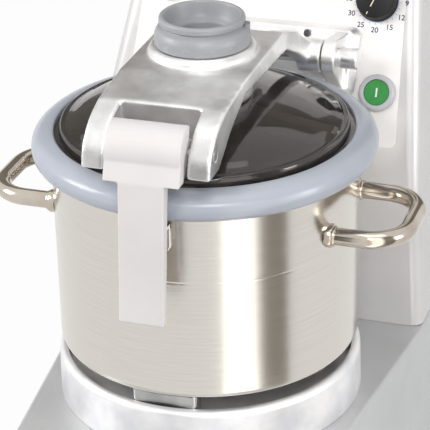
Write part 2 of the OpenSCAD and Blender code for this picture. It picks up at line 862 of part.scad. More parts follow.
// The motor hangs from the underside of the base's top
upper_bell_z = base_top_z - base_wall - upper_bell_h;
motor_z = upper_bell_z - motor_h;
lower_bell_z = motor_z - lower_bell_h;
stator_z = motor_z + (motor_h - stator_h) / 2;
fan_z = lower_bell_z - slip - fan_h;
hub_z = bowl_z + bowl_wall + hub_lift;
shaft_top_z = hub_z + hub_h - hub_top_t / 2;
fan_t = 3;

module motor_frame() {
    color("#6e7276") at_motor(motor_z) pipe(motor_r, motor_r - motor_wall, motor_h);
}

module motor_stator() {
    color("#b06a35") at_motor(stator_z) pipe(motor_r - motor_wall, stator_bore_r, stator_h);
}

module motor_upper_bell() {
    color("#7d8185") at_motor(upper_bell_z) difference() {
        union() {
            cylinder(r = bell_r, h = upper_bell_h);
            cylinder(r = bell_spigot_r, h = upper_bell_h + base_wall);
        }
        translate([0, 0, -cut]) cylinder(r = bearing_r, h = bearing_h + cut);
        translate([0, 0, -cut]) cylinder(r = shaft_r + cut, h = upper_bell_h + base_wall + 2 * cut);
        translate([0, 0, -cut]) on_circle(4, tie_circle_r) cylinder(r = tie_r, h = upper_bell_h / 2 + cut);
        translate([0, 0, upper_bell_h / 3]) on_circle(4, tie_circle_r, 45)
            cylinder(r = screw_r, h = upper_bell_h);
    }
}

module motor_lower_bell() {
    color("#7d8185") at_motor(lower_bell_z) difference() {
        cylinder(r = bell_r, h = lower_bell_h);
        translate([0, 0, lower_bell_h - bearing_h]) cylinder(r = bearing_r, h = bearing_h + cut);
        translate([0, 0, -cut]) cylinder(r = shaft_r + cut, h = lower_bell_h + 2 * cut);
        translate([0, 0, -cut]) on_circle(4, tie_circle_r) cylinder(r = tie_r, h = lower_bell_h + 2 * cut);
    }
}

module motor_tie_bolts() {
    color("#9c9c9a") at_motor(lower_bell_z) on_circle(4, tie_circle_r) mirror([0, 0, 1])
        screw(lower_bell_h + motor_h + upper_bell_h / 2, tie_r);
}

module motor_mount_bolts() {
    color("#9c9c9a") at_motor(base_top_z) on_circle(4, tie_circle_r, 45)
        screw(base_wall + upper_bell_h * 2 / 3);
}

module bearing() {
    pipe(bearing_r, shaft_r + running_fit, bearing_h);
}
module upper_bearing() { color("#b9bcc0") at_motor(upper_bell_z) bearing(); }
module lower_bearing() { color("#b9bcc0") at_motor(motor_z - bearing_h) bearing(); }

module motor_shaft() {
    color("#aeb0b3") at_motor(fan_z) cylinder(r = shaft_r, h = shaft_top_z - fan_z);
}

module motor_rotor() {
    color("#85888c") at_motor(stator_z) pipe(stator_bore_r - air_gap, shaft_r, stator_h);
}

module cooling_fan() {
    color("#3f4246") at_motor(fan_z) linear_extrude(fan_h) difference() {
        union() {
            circle(r = shaft_r + fan_t);
            difference() {
                circle(r = fan_r);
                circle(r = fan_r - fan_t);
            }
            for (i = [0:fan_blades - 1]) rotate([0, 0, 360 * i / fan_blades])
                translate([shaft_r + fan_t / 2, -fan_t / 2]) square([fan_r - fan_t - shaft_r, fan_t]);
        }
        circle(r = shaft_r);
    }
}

module bowl() {
    color("#cfccc6") at_bowl() rotate_extrude($fn = 180) polygon(rounded([
        [bowl_tube_r, 0],
        [bowl_r, 0],
        [bowl_r, bowl_h - bowl_wall],
        [bowl_r + rim_out, bowl_h - bowl_wall],
        [bowl_r + rim_out, bowl_h],
        [bowl_r - bowl_wall, bowl_h],
        [bowl_r - bowl_wall, bowl_wall],
        [bowl_tube_r, bowl_wall]
    ], [0, bowl_edge_r, 0, 0, 0, 0, bowl_edge_r - bowl_wall, 0]));
}

module bowl_tube() {
    color("#c6c4bf") at_bowl() pipe(bowl_tube_r, bowl_tube_r - bowl_tube_wall, bowl_tube_h);
}

// Feet welded under the bowl stand on the seat's floor, between its screws
bowl_foot_angles = [-90, 30, 150];
bowl_foot_corner_r = 5;
module bowl_feet() {
    h = seat_rise - seat_floor_rise;
    near = bowl_foot_r - bowl_foot_d;
    c = bowl_foot_corner_r;
    color("#bdbbb6") at_bowl(-h) for (a = bowl_foot_angles) rotate([0, 0, a]) linear_extrude(h)
        polygon(rounded([
        [near, -bowl_foot_w / 2],
        [bowl_foot_r, -bowl_foot_w / 2],
        [bowl_foot_r, bowl_foot_w / 2],
        [near, bowl_foot_w / 2]
    ], [c, c, c, c]));
}

// A bent rod with a flange at each end, trimmed to the bowl's side
module bowl_handle(side) {
    leg_x = handle_reach - handle_bend_r;
    leg_y = handle_span / 2;
    wall_x = bowl_r * cos(asin(leg_y / bowl_r));
    in_x = wall_x - flange_r / 2;
    at_bowl(handle_z) mirror([side < 0 ? 1 : 0, 0, 0]) difference() {
        union() {
            for (s = [0, 1]) mirror([0, s, 0]) {
                translate([in_x, leg_y, 0]) rotate([0, 90, 0]) {
                    cylinder(r = handle_r, h = leg_x - in_x);
                    cylinder(r = flange_r, h = flange_t + wall_x - in_x);
                }
                translate([leg_x, leg_y - handle_bend_r, 0])
                    rotate_extrude(angle = 90) translate([handle_bend_r, 0]) circle(r = handle_r);
            }
            translate([handle_reach, -leg_y + handle_bend_r, 0]) rotate([-90, 0, 0])
                cylinder(r = handle_r, h = handle_span - 2 * handle_bend_r);
        }
        translate([0, 0, -handle_z]) cylinder(r = bowl_r, h = bowl_h, $fn = 180);
    }
}
module bowl_handle_left() { color("#b9b2a8") bowl_handle(-1); }
module bowl_handle_right() { color("#b9b2a8") bowl_handle(1); }

module bowl_catch() {
    color("#b5b3ae") at_bowl(catch_z) difference() {
        translate([-catch_w / 2, -bowl_r - catch_out, 0]) cube([catch_w, 2 * catch_out, catch_h]);
        translate([0, 0, -cut]) cylinder(r = bowl_r, h = catch_h + 2 * cut, $fn = 180);
    }
}

// The hub turns round the bowl's tube and sits on the shaft's top
module blade_hub() {
    color("#bfc0c2") at_motor(hub_z) difference() {
        cylinder(r = hub_r, h = hub_h);
        translate([0, 0, -cut]) cylinder(r = bowl_tube_r + hub_gap, h = hub_h - hub_top_t + cut);
        cylinder(r = shaft_r, h = shaft_top_z - hub_z);
    }
}

// A ring round the hub with two sickle arms, each the overlap of two offset discs
lower_blade_angle = 20;
module blade_pair(angle) {
    arm_r = blade_reach / 2 + blade_ring_w;
    rotate([0, 0, angle]) linear_extrude(blade_t) difference() {
        union() {
            circle(r = hub_r + blade_ring_w);
            for (a = [0, 180]) rotate([0, 0, a]) intersection() {
                circle(r = blade_reach);
                difference() {
                    translate([blade_reach / 2, 0]) circle(r = arm_r);
                    translate([blade_reach / 2, -blade_root_w]) circle(r = arm_r);
                }
            }
        }
        circle(r = hub_r);
    }
}
module lower_blade() {
    color("#c9cacc") at_motor(hub_z + lower_blade_rise) blade_pair(lower_blade_angle);
}
module upper_blade() {
    color("#c9cacc") at_motor(hub_z + upper_blade_rise) blade_pair(lower_blade_angle + 90);
}

cap_top_share = 0.7;
cap_edge_r = 3;
module hub_cap() {
    color("#a3a4a7") at_motor(hub_z + hub_h) rotate_extrude() polygon(rounded(
        [[0, 0], [hub_r, 0], [hub_r * cap_top_share, hub_cap_h], [0, hub_cap_h]],
        [0, 0, cap_edge_r, 0]
    ));
}

// The hinge pin's place on the leaning face, up it and out of it
pin_v = (hinge_y - column_front_y) * sin(panel_lean) + (hinge_z - fold_z) * cos(panel_lean);
pin_out = (hinge_z - fold_z) * sin(panel_lean) - (hinge_y - column_front_y) * cos(panel_lean);
lug_in_x = ear_x + lug_gap;
lug_out_x = lug_in_x + lug_t;

module bracket_plate() {
    r = bracket_corner_r;
    on_panel(0, bracket_mid_v, plate_t) hull() for (x = [-1, 1]) for (y = [-1, 1])
        translate([x * (bracket_w / 2 - r), y * (bracket_h / 2 - r), 0]) {
            cylinder(r = r, h = bracket_t / 4, $fn = form_fn);
            cylinder(r = r - bracket_slope, h = bracket_t, $fn = form_fn);
        }
}

module bracket_lug(side) {
    root = bracket_h / 2 - bracket_slope;
    translate([side * (lug_in_x + lug_t / 2), 0, 0]) on_panel(0, 0) rotate([0, -90, 0])
        translate([0, 0, -lug_t / 2]) linear_extrude(lug_t) union() {
            translate([pin_out, pin_v]) circle(r = lug_r);
            polygon([
                [plate_t + bracket_t / 2, bracket_mid_v - root],
                [pin_out, pin_v - lug_r],
                [pin_out, pin_v + lug_r],
                [plate_t + bracket_t / 2, bracket_mid_v + root]
            ]);
        }
}

module hinge_bracket() {
    color("#bdbdbf") difference() {
        union() {
            bracket_plate();
            bracket_lug(-1);
            bracket_lug(1);
        }
        translate([-bracket_w / 2, hinge_y, hinge_z]) rotate([0, 90, 0])
            cylinder(r = hinge_pin_r, h = bracket_w);
        for (p = bracket_screw_places) on_panel(p[0], p[1])
            cylinder(r = screw_r, h = bracket_t + plate_t + cut);
    }
}

module bracket_screws() {
    color("#6f6f6e") for (p = bracket_screw_places)
        on_panel(p[0], p[1], plate_t + bracket_t) screw(bracket_t + plate_t + column_wall);
}

clip_t = 2;
module hinge_pin() {
    left = lug_out_x + clip_t + slip;
    color("#d4d3d1") translate([0, hinge_y, hinge_z]) rotate([0, 90, 0]) {
        translate([0, 0, -left]) cylinder(r = hinge_pin_r, h = left + lug_out_x);
        translate([0, 0, lug_out_x]) cylinder(r = pin_head_r, h = pin_head_l);
    }
}

module pin_clip() {
    color("#77797b") translate([-lug_out_x - clip_t, hinge_y, hinge_z]) rotate([0, 90, 0])
        pipe(hinge_pin_r + clip_t, hinge_pin_r, clip_t);
}

bush_r = hinge_pin_r + running_fit + bush_wall;
module hinge_bushes() {
    color("#b08d4c") translate([0, hinge_y, hinge_z]) rotate([0, 90, 0]) for (x = [-ear_x, ear_x - ear_l])
        translate([0, 0, x]) pipe(bush_r, hinge_pin_r + running_fit, ear_l);
}

// Side outline of the arm: Y behind the bowl's axis, Z above the seal ring's foot
prong_reach = 18;
prong_drop = 17;
prong_lean = 3;
prong_crown = 19;
prong_back = 8;
arm_sag = 6;
arm_belly = 30;
ear_run = 48;
ear_fall = 42;
ear_web = 26;
prong_round = 25;
crown_round = 50;
module arm_side() {
    front = -lever_front - prong_reach;
    low = lever_rise - prong_drop;
    polygon(rounded([
        [front, low],
        [front + prong_lean, lever_rise],
        [-lever_front + prong_lean, lever_rise + prong_crown],
        [-slot_front, arm_rise - arm_sag],
        [-slot_front / 2, arm_rise],
        [arm_back, arm_rise],
        [hinge_back - ear_run, hinge_rise + ear_fall],
        [hinge_back - ear_r / 3, hinge_rise + ear_r],
        [hinge_back, hinge_rise],
        [hinge_back - ear_r, hinge_rise],
        [hinge_back - ear_run + ear_web / 4, hinge_rise + ear_fall - ear_web],
        [arm_back + arm_t / 2, arm_rise - arm_t * 3 / 2],
        [-slot_front / 2, arm_rise - arm_t],
        [-slot_front + arm_t, arm_rise - arm_belly],
        [-lever_front + prong_back, low]
    ], [
        prong_lean / 2, prong_round, crown_round, arm_belly, arm_belly, arm_t, arm_belly, 0, 0, 0,
        arm_t, arm_t, arm_t, arm_belly, prong_lean
    ]));
}

// A raised ring with a sloping side carries the funnel
boss_slope = 4;
module arm_boss() {
    rotate_extrude() polygon([
        [arm_bore_r, -arm_t / 2],
        [boss_ring_r, -arm_t / 2],
        [boss_ring_r, boss_ring_h - boss_slope],
        [boss_ring_r - boss_slope, boss_ring_h],
        [arm_bore_r, boss_ring_h]
    ]);
}

limb_w = 15;
window_top = window_rise + crown_rise;
module lid_arm() {
    slot_w = lever_head_w + 2 * slot_gap;
    slot_l = prong_reach + lever_front - slot_front + cut;
    color("#cbcac8") difference() {
        union() {
            difference() {
                at_lid() across(arm_w) arm_side();
                at_lid() translate([-arm_w / 2 + limb_w, arm_back, 0]) cube([
                    arm_w - 2 * limb_w,
                    hinge_back - arm_back + ear_r,
                    arm_rise + cut
                ]);
                at_lid() translate([-slot_w / 2, -slot_front - slot_l, 0]) cube([slot_w, slot_l, arm_rise]);
            }
            for (x = [-ear_x, ear_x - ear_l]) translate([x, hinge_y, hinge_z]) rotate([0, 90, 0])
                cylinder(r = ear_r, h = ear_l);
            at_lid(arm_rise) arm_boss();
            at_lid(window_top) cylinder(r = arm_hub_r, h = arm_rise - window_top - arm_t / 2);
            for (s = [-1, 1]) at_lid(arm_rise - 2 * arm_t)
                translate([s * (arm_hub_r - rib_t) - rib_t / 2, 0, 0])
                    cube([rib_t, arm_back, arm_t * 3 / 2]);
        }
        at_lid() cylinder(r = arm_bore_r, h = arm_rise + boss_ring_h + cut);
        translate([-ear_x - cut, hinge_y, hinge_z]) rotate([0, 90, 0])
            cylinder(r = bush_r, h = 2 * (ear_x + cut));
        translate([-arm_w / 2 - cut, lever_y, lever_z]) rotate([0, 90, 0])
            cylinder(r = lever_pin_r, h = arm_w + 2 * cut);
    }
}

groove_r = seal_top_r + groove_d;
module lid_seal() {
    lip_r = bowl_r - bowl_wall - lip_gap;
    color("#b8c0d0") at_lid() rotate_extrude($fn = 180) polygon(rounded([
        [seal_bore_r, -lip_h],
        [lip_r, -lip_h],
        [lip_r, 0],
        [seal_foot_r, 0],
        [seal_r, seal_wide_rise],
        [seal_foot_r, seal_h * seal_brow_share],
        [seal_top_r, seal_h],
        [seal_top_r, window_rise + window_t],
        [groove_r, window_rise + window_t],
        [groove_r, window_rise],
        [seal_bore_r, window_rise]
    ], [0, 0, 0, seal_round, 2 * seal_round, 4 * seal_round, seal_round / 2, 0, 0, 0, 0]));
}
seal_brow_share = 0.8;
seal_round = 3;

// A dome with a steep neck, a rounded shoulder and a flat crown that the arm's hub clamps
module lid_window() {
    t = window_t;
    low = window_rise;
    color("#4a4642", 0.55) at_lid() rotate_extrude($fn = 180) polygon(rounded([
        [arm_bore_r + slip, window_top],
        [crown_r, window_top],
        [shoulder_r, low + shoulder_rise],
        [neck_r, low + neck_rise],
        [neck_r, low + t],
        [groove_r - slip, low + t],
        [groove_r - slip, low],
        [neck_r - t, low],
        [neck_r - t, low + neck_rise - t / 2],
        [shoulder_r - t / 2, low + shoulder_rise - t],
        [crown_r, window_top - t],
        [arm_bore_r + slip, window_top - t]
    ], [0, crown_r, 3 * t, 2 * t, 0, 0, 0, 0, t, 2 * t, crown_r, 0]));
}

// A threaded ring from below pulls the window up against the arm's hub
module window_clamp() {
    low = window_top - window_t - clamp_t;
    sleeve_r = arm_bore_r - running_fit;
    color("#a9a8a6") at_lid() rotate_extrude() polygon([
        [feed_tube_r + feed_gap, low],
        [arm_hub_r, low],
        [arm_hub_r, low + clamp_t],
        [sleeve_r, low + clamp_t],
        [sleeve_r, arm_rise - arm_t],
        [feed_tube_r + feed_gap, arm_rise - arm_t]
    ]);
}

module lever_pin() {
    color("#c9c8c6") translate([-arm_w / 2, lever_y, lever_z]) rotate([0, 90, 0])
        cylinder(r = lever_pin_r, h = arm_w);
}

// Side outlines of the lever, in Y and Z from its pivot
head_arc_steps = 12;
head_arc_from = 82;
head_arc_to = 190;
function head_arc(r, from, to) =
    [for (i = [0:head_arc_steps]) r * [cos(from + (to - from) * i / head_arc_steps),
                                       sin(from + (to - from) * i / head_arc_steps)]];
lever_back = -lever_chest + lever_root_t;
module lever_head_side() {
    polygon(concat(
        head_arc(lever_head_r, head_arc_from, head_arc_to),
        [[-lever_chest, -lever_head_drop], [lever_back, -lever_head_drop]],
        head_arc(lever_boss_r - lever_head_edge, head_arc_to + lever_boss_turn, head_arc_from)
    ));
    circle(r = lever_boss_r);
}
lever_head_edge = 1;
lever_boss_turn = 40;

function lever_back_at(z) =
    let (part = (-lever_head_drop - z) / (lever_l - lever_head_drop))
        lever_back + (lever_tip_t - lever_out - lever_back) * part;
module lever_blade_side() {
    polygon([
        [-lever_head_r, -lever_head_drop + lever_boss_r],
        [-lever_chest, -lever_head_drop],
        [-lever_out, -lever_l],
        [-lever_out + lever_tip_t, -lever_l],
        [lever_back, -lever_head_drop],
        [lever_back, -lever_head_drop + lever_boss_r]
    ]);
}

module latch_lever() {
    color("#e6e0de") translate([0, lever_y, lever_z]) difference() {
        union() {
            across(lever_head_w) lever_head_side();
            intersection() {
                across(lever_w) lever_blade_side();
                translate([-lever_w / 2, -lever_out - cut, -lever_l - cut])
                    cube([lever_w, lever_out + cut, lever_l + cut - lever_boss_r]);
            }
        }
        translate([-lever_head_w / 2 - cut, 0, 0]) rotate([0, 90, 0])
            cylinder(r = lever_pin_r + running_fit, h = lever_head_w + 2 * cut);
    }
}

// A bent steel hook on the lever's back, whose nose closes in front of the bowl's catch
hook_drop = 65;
module latch_hook() {
    nose = lever_front - bowl_r - catch_out - slip;
    top = -hook_drop;
    low = bowl_z + catch_z + catch_h / 4 - lever_z;
    color("#b9b8b5") translate([0, lever_y, lever_z]) across(hook_w) polygon([
        [lever_back_at(top), top],
        [nose, top],
        [nose, low],
        [nose - hook_t, low],
        [nose - hook_t, top - hook_t],
        [lever_back_at(top - hook_t), top - hook_t]
    ]);
}

// The funnel's skirt rides on the arm's raised ring, and its tube goes down through the lid
skirt_rise = arm_rise + boss_ring_h + slip;
wiper_top = window_top - window_t - clamp_t - slip;
skirt_wall = 3;
module feed_funnel() {
    tube_low = wiper_top - wiper_hub_h - skirt_rise;
    rim_low = skirt_h + neck_h;
    top = rim_low + rim_h;
    color("#a4a5a9") at_lid(skirt_rise) rotate_extrude() polygon([
        [feed_bore_r, tube_low],
        [feed_tube_r, tube_low],
        [feed_tube_r, skirt_h / 2],
        [skirt_r - skirt_wall, skirt_h / 2],
        [skirt_r - skirt_wall, 0],
        [skirt_r, 0],
        [skirt_r - skirt_draft, skirt_h],
        [rim_r - neck_groove, skirt_h],
        [rim_r - neck_groove, rim_low],
        [rim_r, rim_low],
        [rim_r, top],
        [mouth_r, top],
        [mouth_r - skirt_draft, skirt_h],
        [feed_bore_r, skirt_h / 2]
    ]);
}
skirt_draft = 1.5;

// The hub is fixed on the feed tube, and its bar slopes down under the window's shoulder
wiper_fall = 15;
module wiper_arm() {
    end_top = wiper_top - wiper_fall;
    color("#8f9094") at_lid() difference() {
        union() {
            translate([0, 0, wiper_top - wiper_hub_h]) cylinder(r = wiper_hub_r, h = wiper_hub_h);
            rotate([90, 0, 0]) translate([0, 0, -wiper_w / 2]) linear_extrude(wiper_w) polygon([
                [feed_tube_r, wiper_top],
                [wiper_hub_r, wiper_top],
                [wiper_reach, end_top],
                [wiper_reach, end_top - wiper_bar_h],
                [feed_tube_r, wiper_top - wiper_hub_h]
            ]);
        }
        translate([0, 0, wiper_top - wiper_hub_h - cut]) cylinder(r = feed_tube_r, h = wiper_hub_h + 2 * cut);
    }
}

wiper_gap = 1.5;
module wiper_scraper() {
    top = wiper_top - wiper_fall;
    neck_in = neck_r - window_t - wiper_gap;
    color("#d9d9da") at_lid() rotate([90, 0, 0]) translate([0, 0, -scraper_t / 2]) linear_extrude(scraper_t)
        polygon([
            [wiper_reach, top - scraper_l],
            [scraper_r, top - scraper_l],
            [scraper_r, window_rise - wiper_gap],
            [neck_in, window_rise - wiper_gap],
            [neck_in, top],
            [wiper_reach, top]
        ]);
}

// The inverter board stands off the inside of the column's lower front
board_y = column_front_y + column_wall + standoff_l;
board_z = base_top_z + board_rise;
board_margin = 10;
board_hole_places = [
    for (s = [-1, 1]) for (z = [board_margin, board_h - board_margin]) [s * (board_w / 2 - board_margin), z]
];
module inverter_board() {
    color("#2f6b46") translate([-board_w / 2, board_y, board_z]) cube([board_w, board_t, board_h]);
}

module board_standoffs() {
    color("#c2b280") for (p = board_hole_places) translate([p[0], board_y - standoff_l, board_z + p[1]])
        rotate([-90, 0, 0]) cylinder(r = screw_r, h = standoff_l);
}

module heat_sink() {
    pitch = (sink_w - fin_t) / (fin_count - 1);
    color("#8b8e91") translate([-sink_w / 2, board_y + board_t, board_z + (board_h - sink_h) / 2]) {
        cube([sink_w, 2 * fin_t, sink_h]);
        for (i = [0:fin_count - 1]) translate([i * pitch, 0, 0]) cube([fin_t, sink_d, sink_h]);
    }
}

module capacitors() {
    x = (sink_w + board_w) / 4;
    color("#2b3f63") for (s = [-1, 1]) for (z = [1, 3])
        translate([s * x, board_y + board_t, board_z + board_h * z / 4]) rotate([-90, 0, 0])
            cylinder(r = cap_r, h = cap_h);
}

// The gland's thread passes the base's back wall, and its hexagon and dome stand behind it
gland_hex_h = 7;
gland_hex_r = 13;
gland_dome_share = 0.8;
module cable_gland() {
    color("#2f3032") translate([gland_x, rear_y, gland_z]) rotate([-90, 0, 0]) difference() {
        union() {
            translate([0, 0, -2 * base_wall])
                cylinder(r = gland_thread_r, h = 2 * base_wall + gland_hex_h / 2);
            cylinder(r = gland_hex_r, h = gland_hex_h, $fn = 6);
            cylinder(r = gland_hex_r * gland_dome_share, h = gland_out);
        }
        translate([0, 0, -2 * base_wall - cut])
            cylinder(r = gland_bore_r, h = 2 * base_wall + gland_out + 2 * cut);
    }
}

base_housing();
bottom_plate();
feet();
foot_screws();
column_housing();
rear_cover();
cover_screws();
control_plate();
button_collars();
start_button();
stop_button();
pulse_button();
switch_blocks();
speed_knob();
knob_spindle();
speed_potentiometer();
bowl_seat_ring();
seat_ring_screws();
shaft_seal();
motor_frame();
motor_stator();
motor_upper_bell();
motor_lower_bell();
motor_tie_bolts();
motor_mount_bolts();
upper_bearing();
lower_bearing();
motor_shaft();
motor_rotor();
cooling_fan();
bowl();
bowl_tube();
bowl_feet();
bowl_handle_left();
bowl_handle_right();
bowl_catch();
blade_hub();
lower_blade();
upper_blade();
hub_cap();
hinge_bracket();
bracket_screws();
hinge_pin();
pin_clip();
hinge_bushes();
lid_arm();
lid_seal();
lid_window();
window_clamp();
lever_pin();
latch_lever();
latch_hook();
feed_funnel();
wiper_arm();
wiper_scraper();
inverter_board();
board_standoffs();
heat_sink();
capacitors();
cable_gland();
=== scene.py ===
import json
import math

import bmesh
import bpy
from mathutils import Matrix, Vector

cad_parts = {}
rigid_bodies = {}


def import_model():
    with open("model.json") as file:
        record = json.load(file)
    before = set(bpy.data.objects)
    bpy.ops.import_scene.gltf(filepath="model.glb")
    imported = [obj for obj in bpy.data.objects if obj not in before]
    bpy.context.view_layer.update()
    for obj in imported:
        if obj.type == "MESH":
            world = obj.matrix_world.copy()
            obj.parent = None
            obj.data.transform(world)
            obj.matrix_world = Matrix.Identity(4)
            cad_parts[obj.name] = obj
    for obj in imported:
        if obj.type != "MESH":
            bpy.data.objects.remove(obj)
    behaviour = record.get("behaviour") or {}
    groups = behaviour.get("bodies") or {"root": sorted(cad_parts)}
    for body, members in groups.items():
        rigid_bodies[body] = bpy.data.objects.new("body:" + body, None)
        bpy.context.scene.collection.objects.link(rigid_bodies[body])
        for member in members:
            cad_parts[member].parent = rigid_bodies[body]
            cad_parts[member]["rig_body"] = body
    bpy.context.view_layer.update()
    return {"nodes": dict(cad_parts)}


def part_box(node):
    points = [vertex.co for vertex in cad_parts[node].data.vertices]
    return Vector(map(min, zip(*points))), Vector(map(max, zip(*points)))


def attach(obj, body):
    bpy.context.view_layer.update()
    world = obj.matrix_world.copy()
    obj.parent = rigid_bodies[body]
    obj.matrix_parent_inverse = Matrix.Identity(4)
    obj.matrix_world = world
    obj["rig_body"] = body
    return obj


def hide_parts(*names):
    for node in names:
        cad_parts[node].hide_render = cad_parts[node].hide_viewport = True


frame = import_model()

# Camera. It stands to the right of the front and looks down on the bowl, as in the photograph. Its angles
# were solved from the bowl's circles. The lens takes in 12.3 degrees, and the picture is square.
bowl_axis_y = -0.060
azimuth, elevation, roll = math.radians(18.69), math.radians(26.42), math.radians(-1.37)
view_centre, view_distance, view_shift = Vector((0.0, bowl_axis_y, 0.39712)), 1.84728, 0.00733
sensor_width, focal_length = 36.0, 167.53
back = Vector((
    math.sin(azimuth) * math.cos(elevation),
    -math.cos(azimuth) * math.cos(elevation),
    math.sin(elevation),
))
level_right = Vector((math.cos(azimuth), math.sin(azimuth), 0.0))
level_up = back.cross(level_right)
right = level_right * math.cos(roll) + level_up * math.sin(roll)
up = level_up * math.cos(roll) - level_right * math.sin(roll)
camera = bpy.data.objects.new("camera", bpy.data.cameras.new("camera"))
camera.data.sensor_width = sensor_width
camera.data.lens = focal_length
camera.matrix_world = Matrix((right, up, back)).transposed().to_4x4()
camera.matrix_world.translation = view_centre + back * view_distance + right * view_shift
bpy.context.collection.objects.link(camera)
bpy.context.scene.camera = camera


# Base housing: a thin-walled aluminium casting, sprayed with a silver-grey powder paint and baked. The
# skin is the CAD casting with its edges eased, as the paint leaves them, and a fine orange-peel grain.
def finish(name, dark, light, roughness, metallic=0.0, patch=9.0, grain=1400.0, depth=0.00002,
           stretch=(1.0, 1.0, 1.0), edge_highlight=0.0, **sockets):
    """Make a surface: its colour drifts from dark to light in patches, a fine grain dents it and varies
    its roughness, and a painted highlight makes its colour paler on pointy edges. Other sockets are set as
    they are given."""
    patch_limits, edge_limits, highlight_colour = (0.32, 0.68), (0.505, 0.60), (0.90, 0.90, 0.895, 1.0)
    material = bpy.data.materials.new(name)
    material.use_nodes = True
    tree = material.node_tree
    shader = tree.nodes["Principled BSDF"]
    shader.inputs["Metallic"].default_value = metallic
    for socket, value in sockets.items():
        shader.inputs[socket.replace("_", " ")].default_value = value
    place = tree.nodes.new("ShaderNodeTexCoord")
    noises = []
    for size, detail, scale in ((patch, 4.0, (1.0, 1.0, 1.0)), (grain, 2.0, stretch)):
        mapping = tree.nodes.new("ShaderNodeMapping")
        mapping.inputs["Scale"].default_value = scale
        tree.links.new(place.outputs["Object"], mapping.inputs["Vector"])
        noise = tree.nodes.new("ShaderNodeTexNoise")
        noise.inputs["Scale"].default_value = size
        noise.inputs["Detail"].default_value = detail
        tree.links.new(mapping.outputs["Vector"], noise.inputs["Vector"])
        noises.append(noise)
    ramp = tree.nodes.new("ShaderNodeValToRGB")
    first, last = ramp.color_ramp.elements
    first.position, last.position = patch_limits
    first.color, last.color = (*dark, 1.0), (*light, 1.0)
    tree.links.new(noises[0].outputs["Fac"], ramp.inputs["Fac"])
    tree.links.new(ramp.outputs["Color"], shader.inputs["Base Color"])
    # Painted highlight: on pointy edges the colour turns paler, towards a light grey, in place of the light
    # that rounded edges catch.
    if edge_highlight > 0.0:
        form = tree.nodes.new("ShaderNodeNewGeometry")
        edge = tree.nodes.new("ShaderNodeMapRange")
        edge.inputs["From Min"].default_value, edge.inputs["From Max"].default_value = edge_limits
        edge.inputs["To Max"].default_value = edge_highlight
        bright = tree.nodes.new("ShaderNodeMixRGB")
        bright.inputs["Color2"].default_value = highlight_colour
        tree.links.new(form.outputs["Pointiness"], edge.inputs["Value"])
        tree.links.new(edge.outputs["Result"], bright.inputs["Fac"])
        tree.links.new(ramp.outputs["Color"], bright.inputs["Color1"])
        tree.links.new(bright.outputs["Color"], shader.inputs["Base Color"])
    gloss = tree.nodes.new("ShaderNodeMapRange")
    gloss.inputs["To Min"].default_value, gloss.inputs["To Max"].default_value = roughness
    tree.links.new(noises[1].outputs["Fac"], gloss.inputs["Value"])
    tree.links.new(gloss.outputs["Result"], shader.inputs["Roughness"])
    bump = tree.nodes.new("ShaderNodeBump")
    bump.inputs["Distance"].default_value = depth
    tree.links.new(noises[1].outputs["Fac"], bump.inputs["Height"])
    tree.links.new(bump.outputs["Normal"], shader.inputs["Normal"])
    return material


def merged_copy(node, weld=0.00001, flat=math.radians(0.5)):
    """Copy a CAD node's mesh as a new piece, with its triangles joined into whole faces."""
    mesh = frame["nodes"][node].data.copy()
    mesh.materials.clear()
    shape = bmesh.new()
    shape.from_mesh(mesh)
    bmesh.ops.remove_doubles(shape, verts=shape.verts, dist=weld)
    bmesh.ops.dissolve_limit(shape, angle_limit=flat, verts=shape.verts, edges=shape.edges)
    shape.to_mesh(mesh)
    shape.free()
    if "custom_normal" in mesh.attributes:
        mesh.attributes.remove(mesh.attributes["custom_normal"])
    piece = bpy.data.objects.new(node + "_skin", mesh)
    bpy.context.collection.objects.link(piece)
    return piece


def fitted(piece, nodes, material):
    """Give a piece its finish and let it stand for the CAD nodes, on their body."""
    piece.data.materials.clear()
    piece.data.materials.append(material)
    for face in piece.data.polygons:
        face.use_smooth = True
        face.material_index = 0
    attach(piece, frame["nodes"][nodes[0]]["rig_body"])
    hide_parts(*nodes)
    return piece


def eased(node, material, edge, segments=3, clamp=True, from_angle=math.radians(32)):
    """Copy a CAD node and round its edges by edge metres, where its faces meet at from_angle or more."""
    piece = merged_copy(node)
    bevel = piece.modifiers.new("eased edges", "BEVEL")
    bevel.width, bevel.segments, bevel.use_clamp_overlap = edge, segments, clamp
    bevel.limit_method, bevel.angle_limit = "ANGLE", from_angle
    weigh = piece.modifiers.new("flat faces", "WEIGHTED_NORMAL")
    weigh.keep_sharp = True
    return fitted(piece, [node], material)


base_paint = finish("base powder paint", (0.50, 0.503, 0.508), (0.57, 0.573, 0.58), (0.34, 0.44),
                    metallic=0.40, depth=0.00003)
eased("base_housing", base_paint, edge=0.0012, clamp=False)

# Bottom plate and feet: a steel plate closes the base from below, and four moulded rubber feet are screwed
# through it into the base's bosses. The rubber is matt, with a dusty grain.
sheet_steel = finish("zinc plated sheet", (0.42, 0.43, 0.44), (0.55, 0.56, 0.57), (0.30, 0.45),
                     metallic=1.0, patch=40.0, grain=900.0)
feet_rubber = finish("moulded rubber", (0.016, 0.016, 0.017), (0.030, 0.030, 0.031), (0.62, 0.80),
                     patch=60.0, grain=1800.0, depth=0.00006)
screw_steel = finish("screw steel", (0.45, 0.45, 0.46), (0.62, 0.62, 0.63), (0.18, 0.32),
                     metallic=1.0, patch=120.0, grain=2600.0, depth=0.00001)


def kept(material, *nodes):
    """Give CAD nodes that keep their own shape a better surface."""
    for node in nodes:
        mesh = frame["nodes"][node].data
        mesh.materials.clear()
        mesh.materials.append(material)


eased("bottom_plate", sheet_steel, edge=0.0004, segments=2)
eased("feet", feet_rubber, edge=0.0012)
kept(screw_steel, "foot_screws")
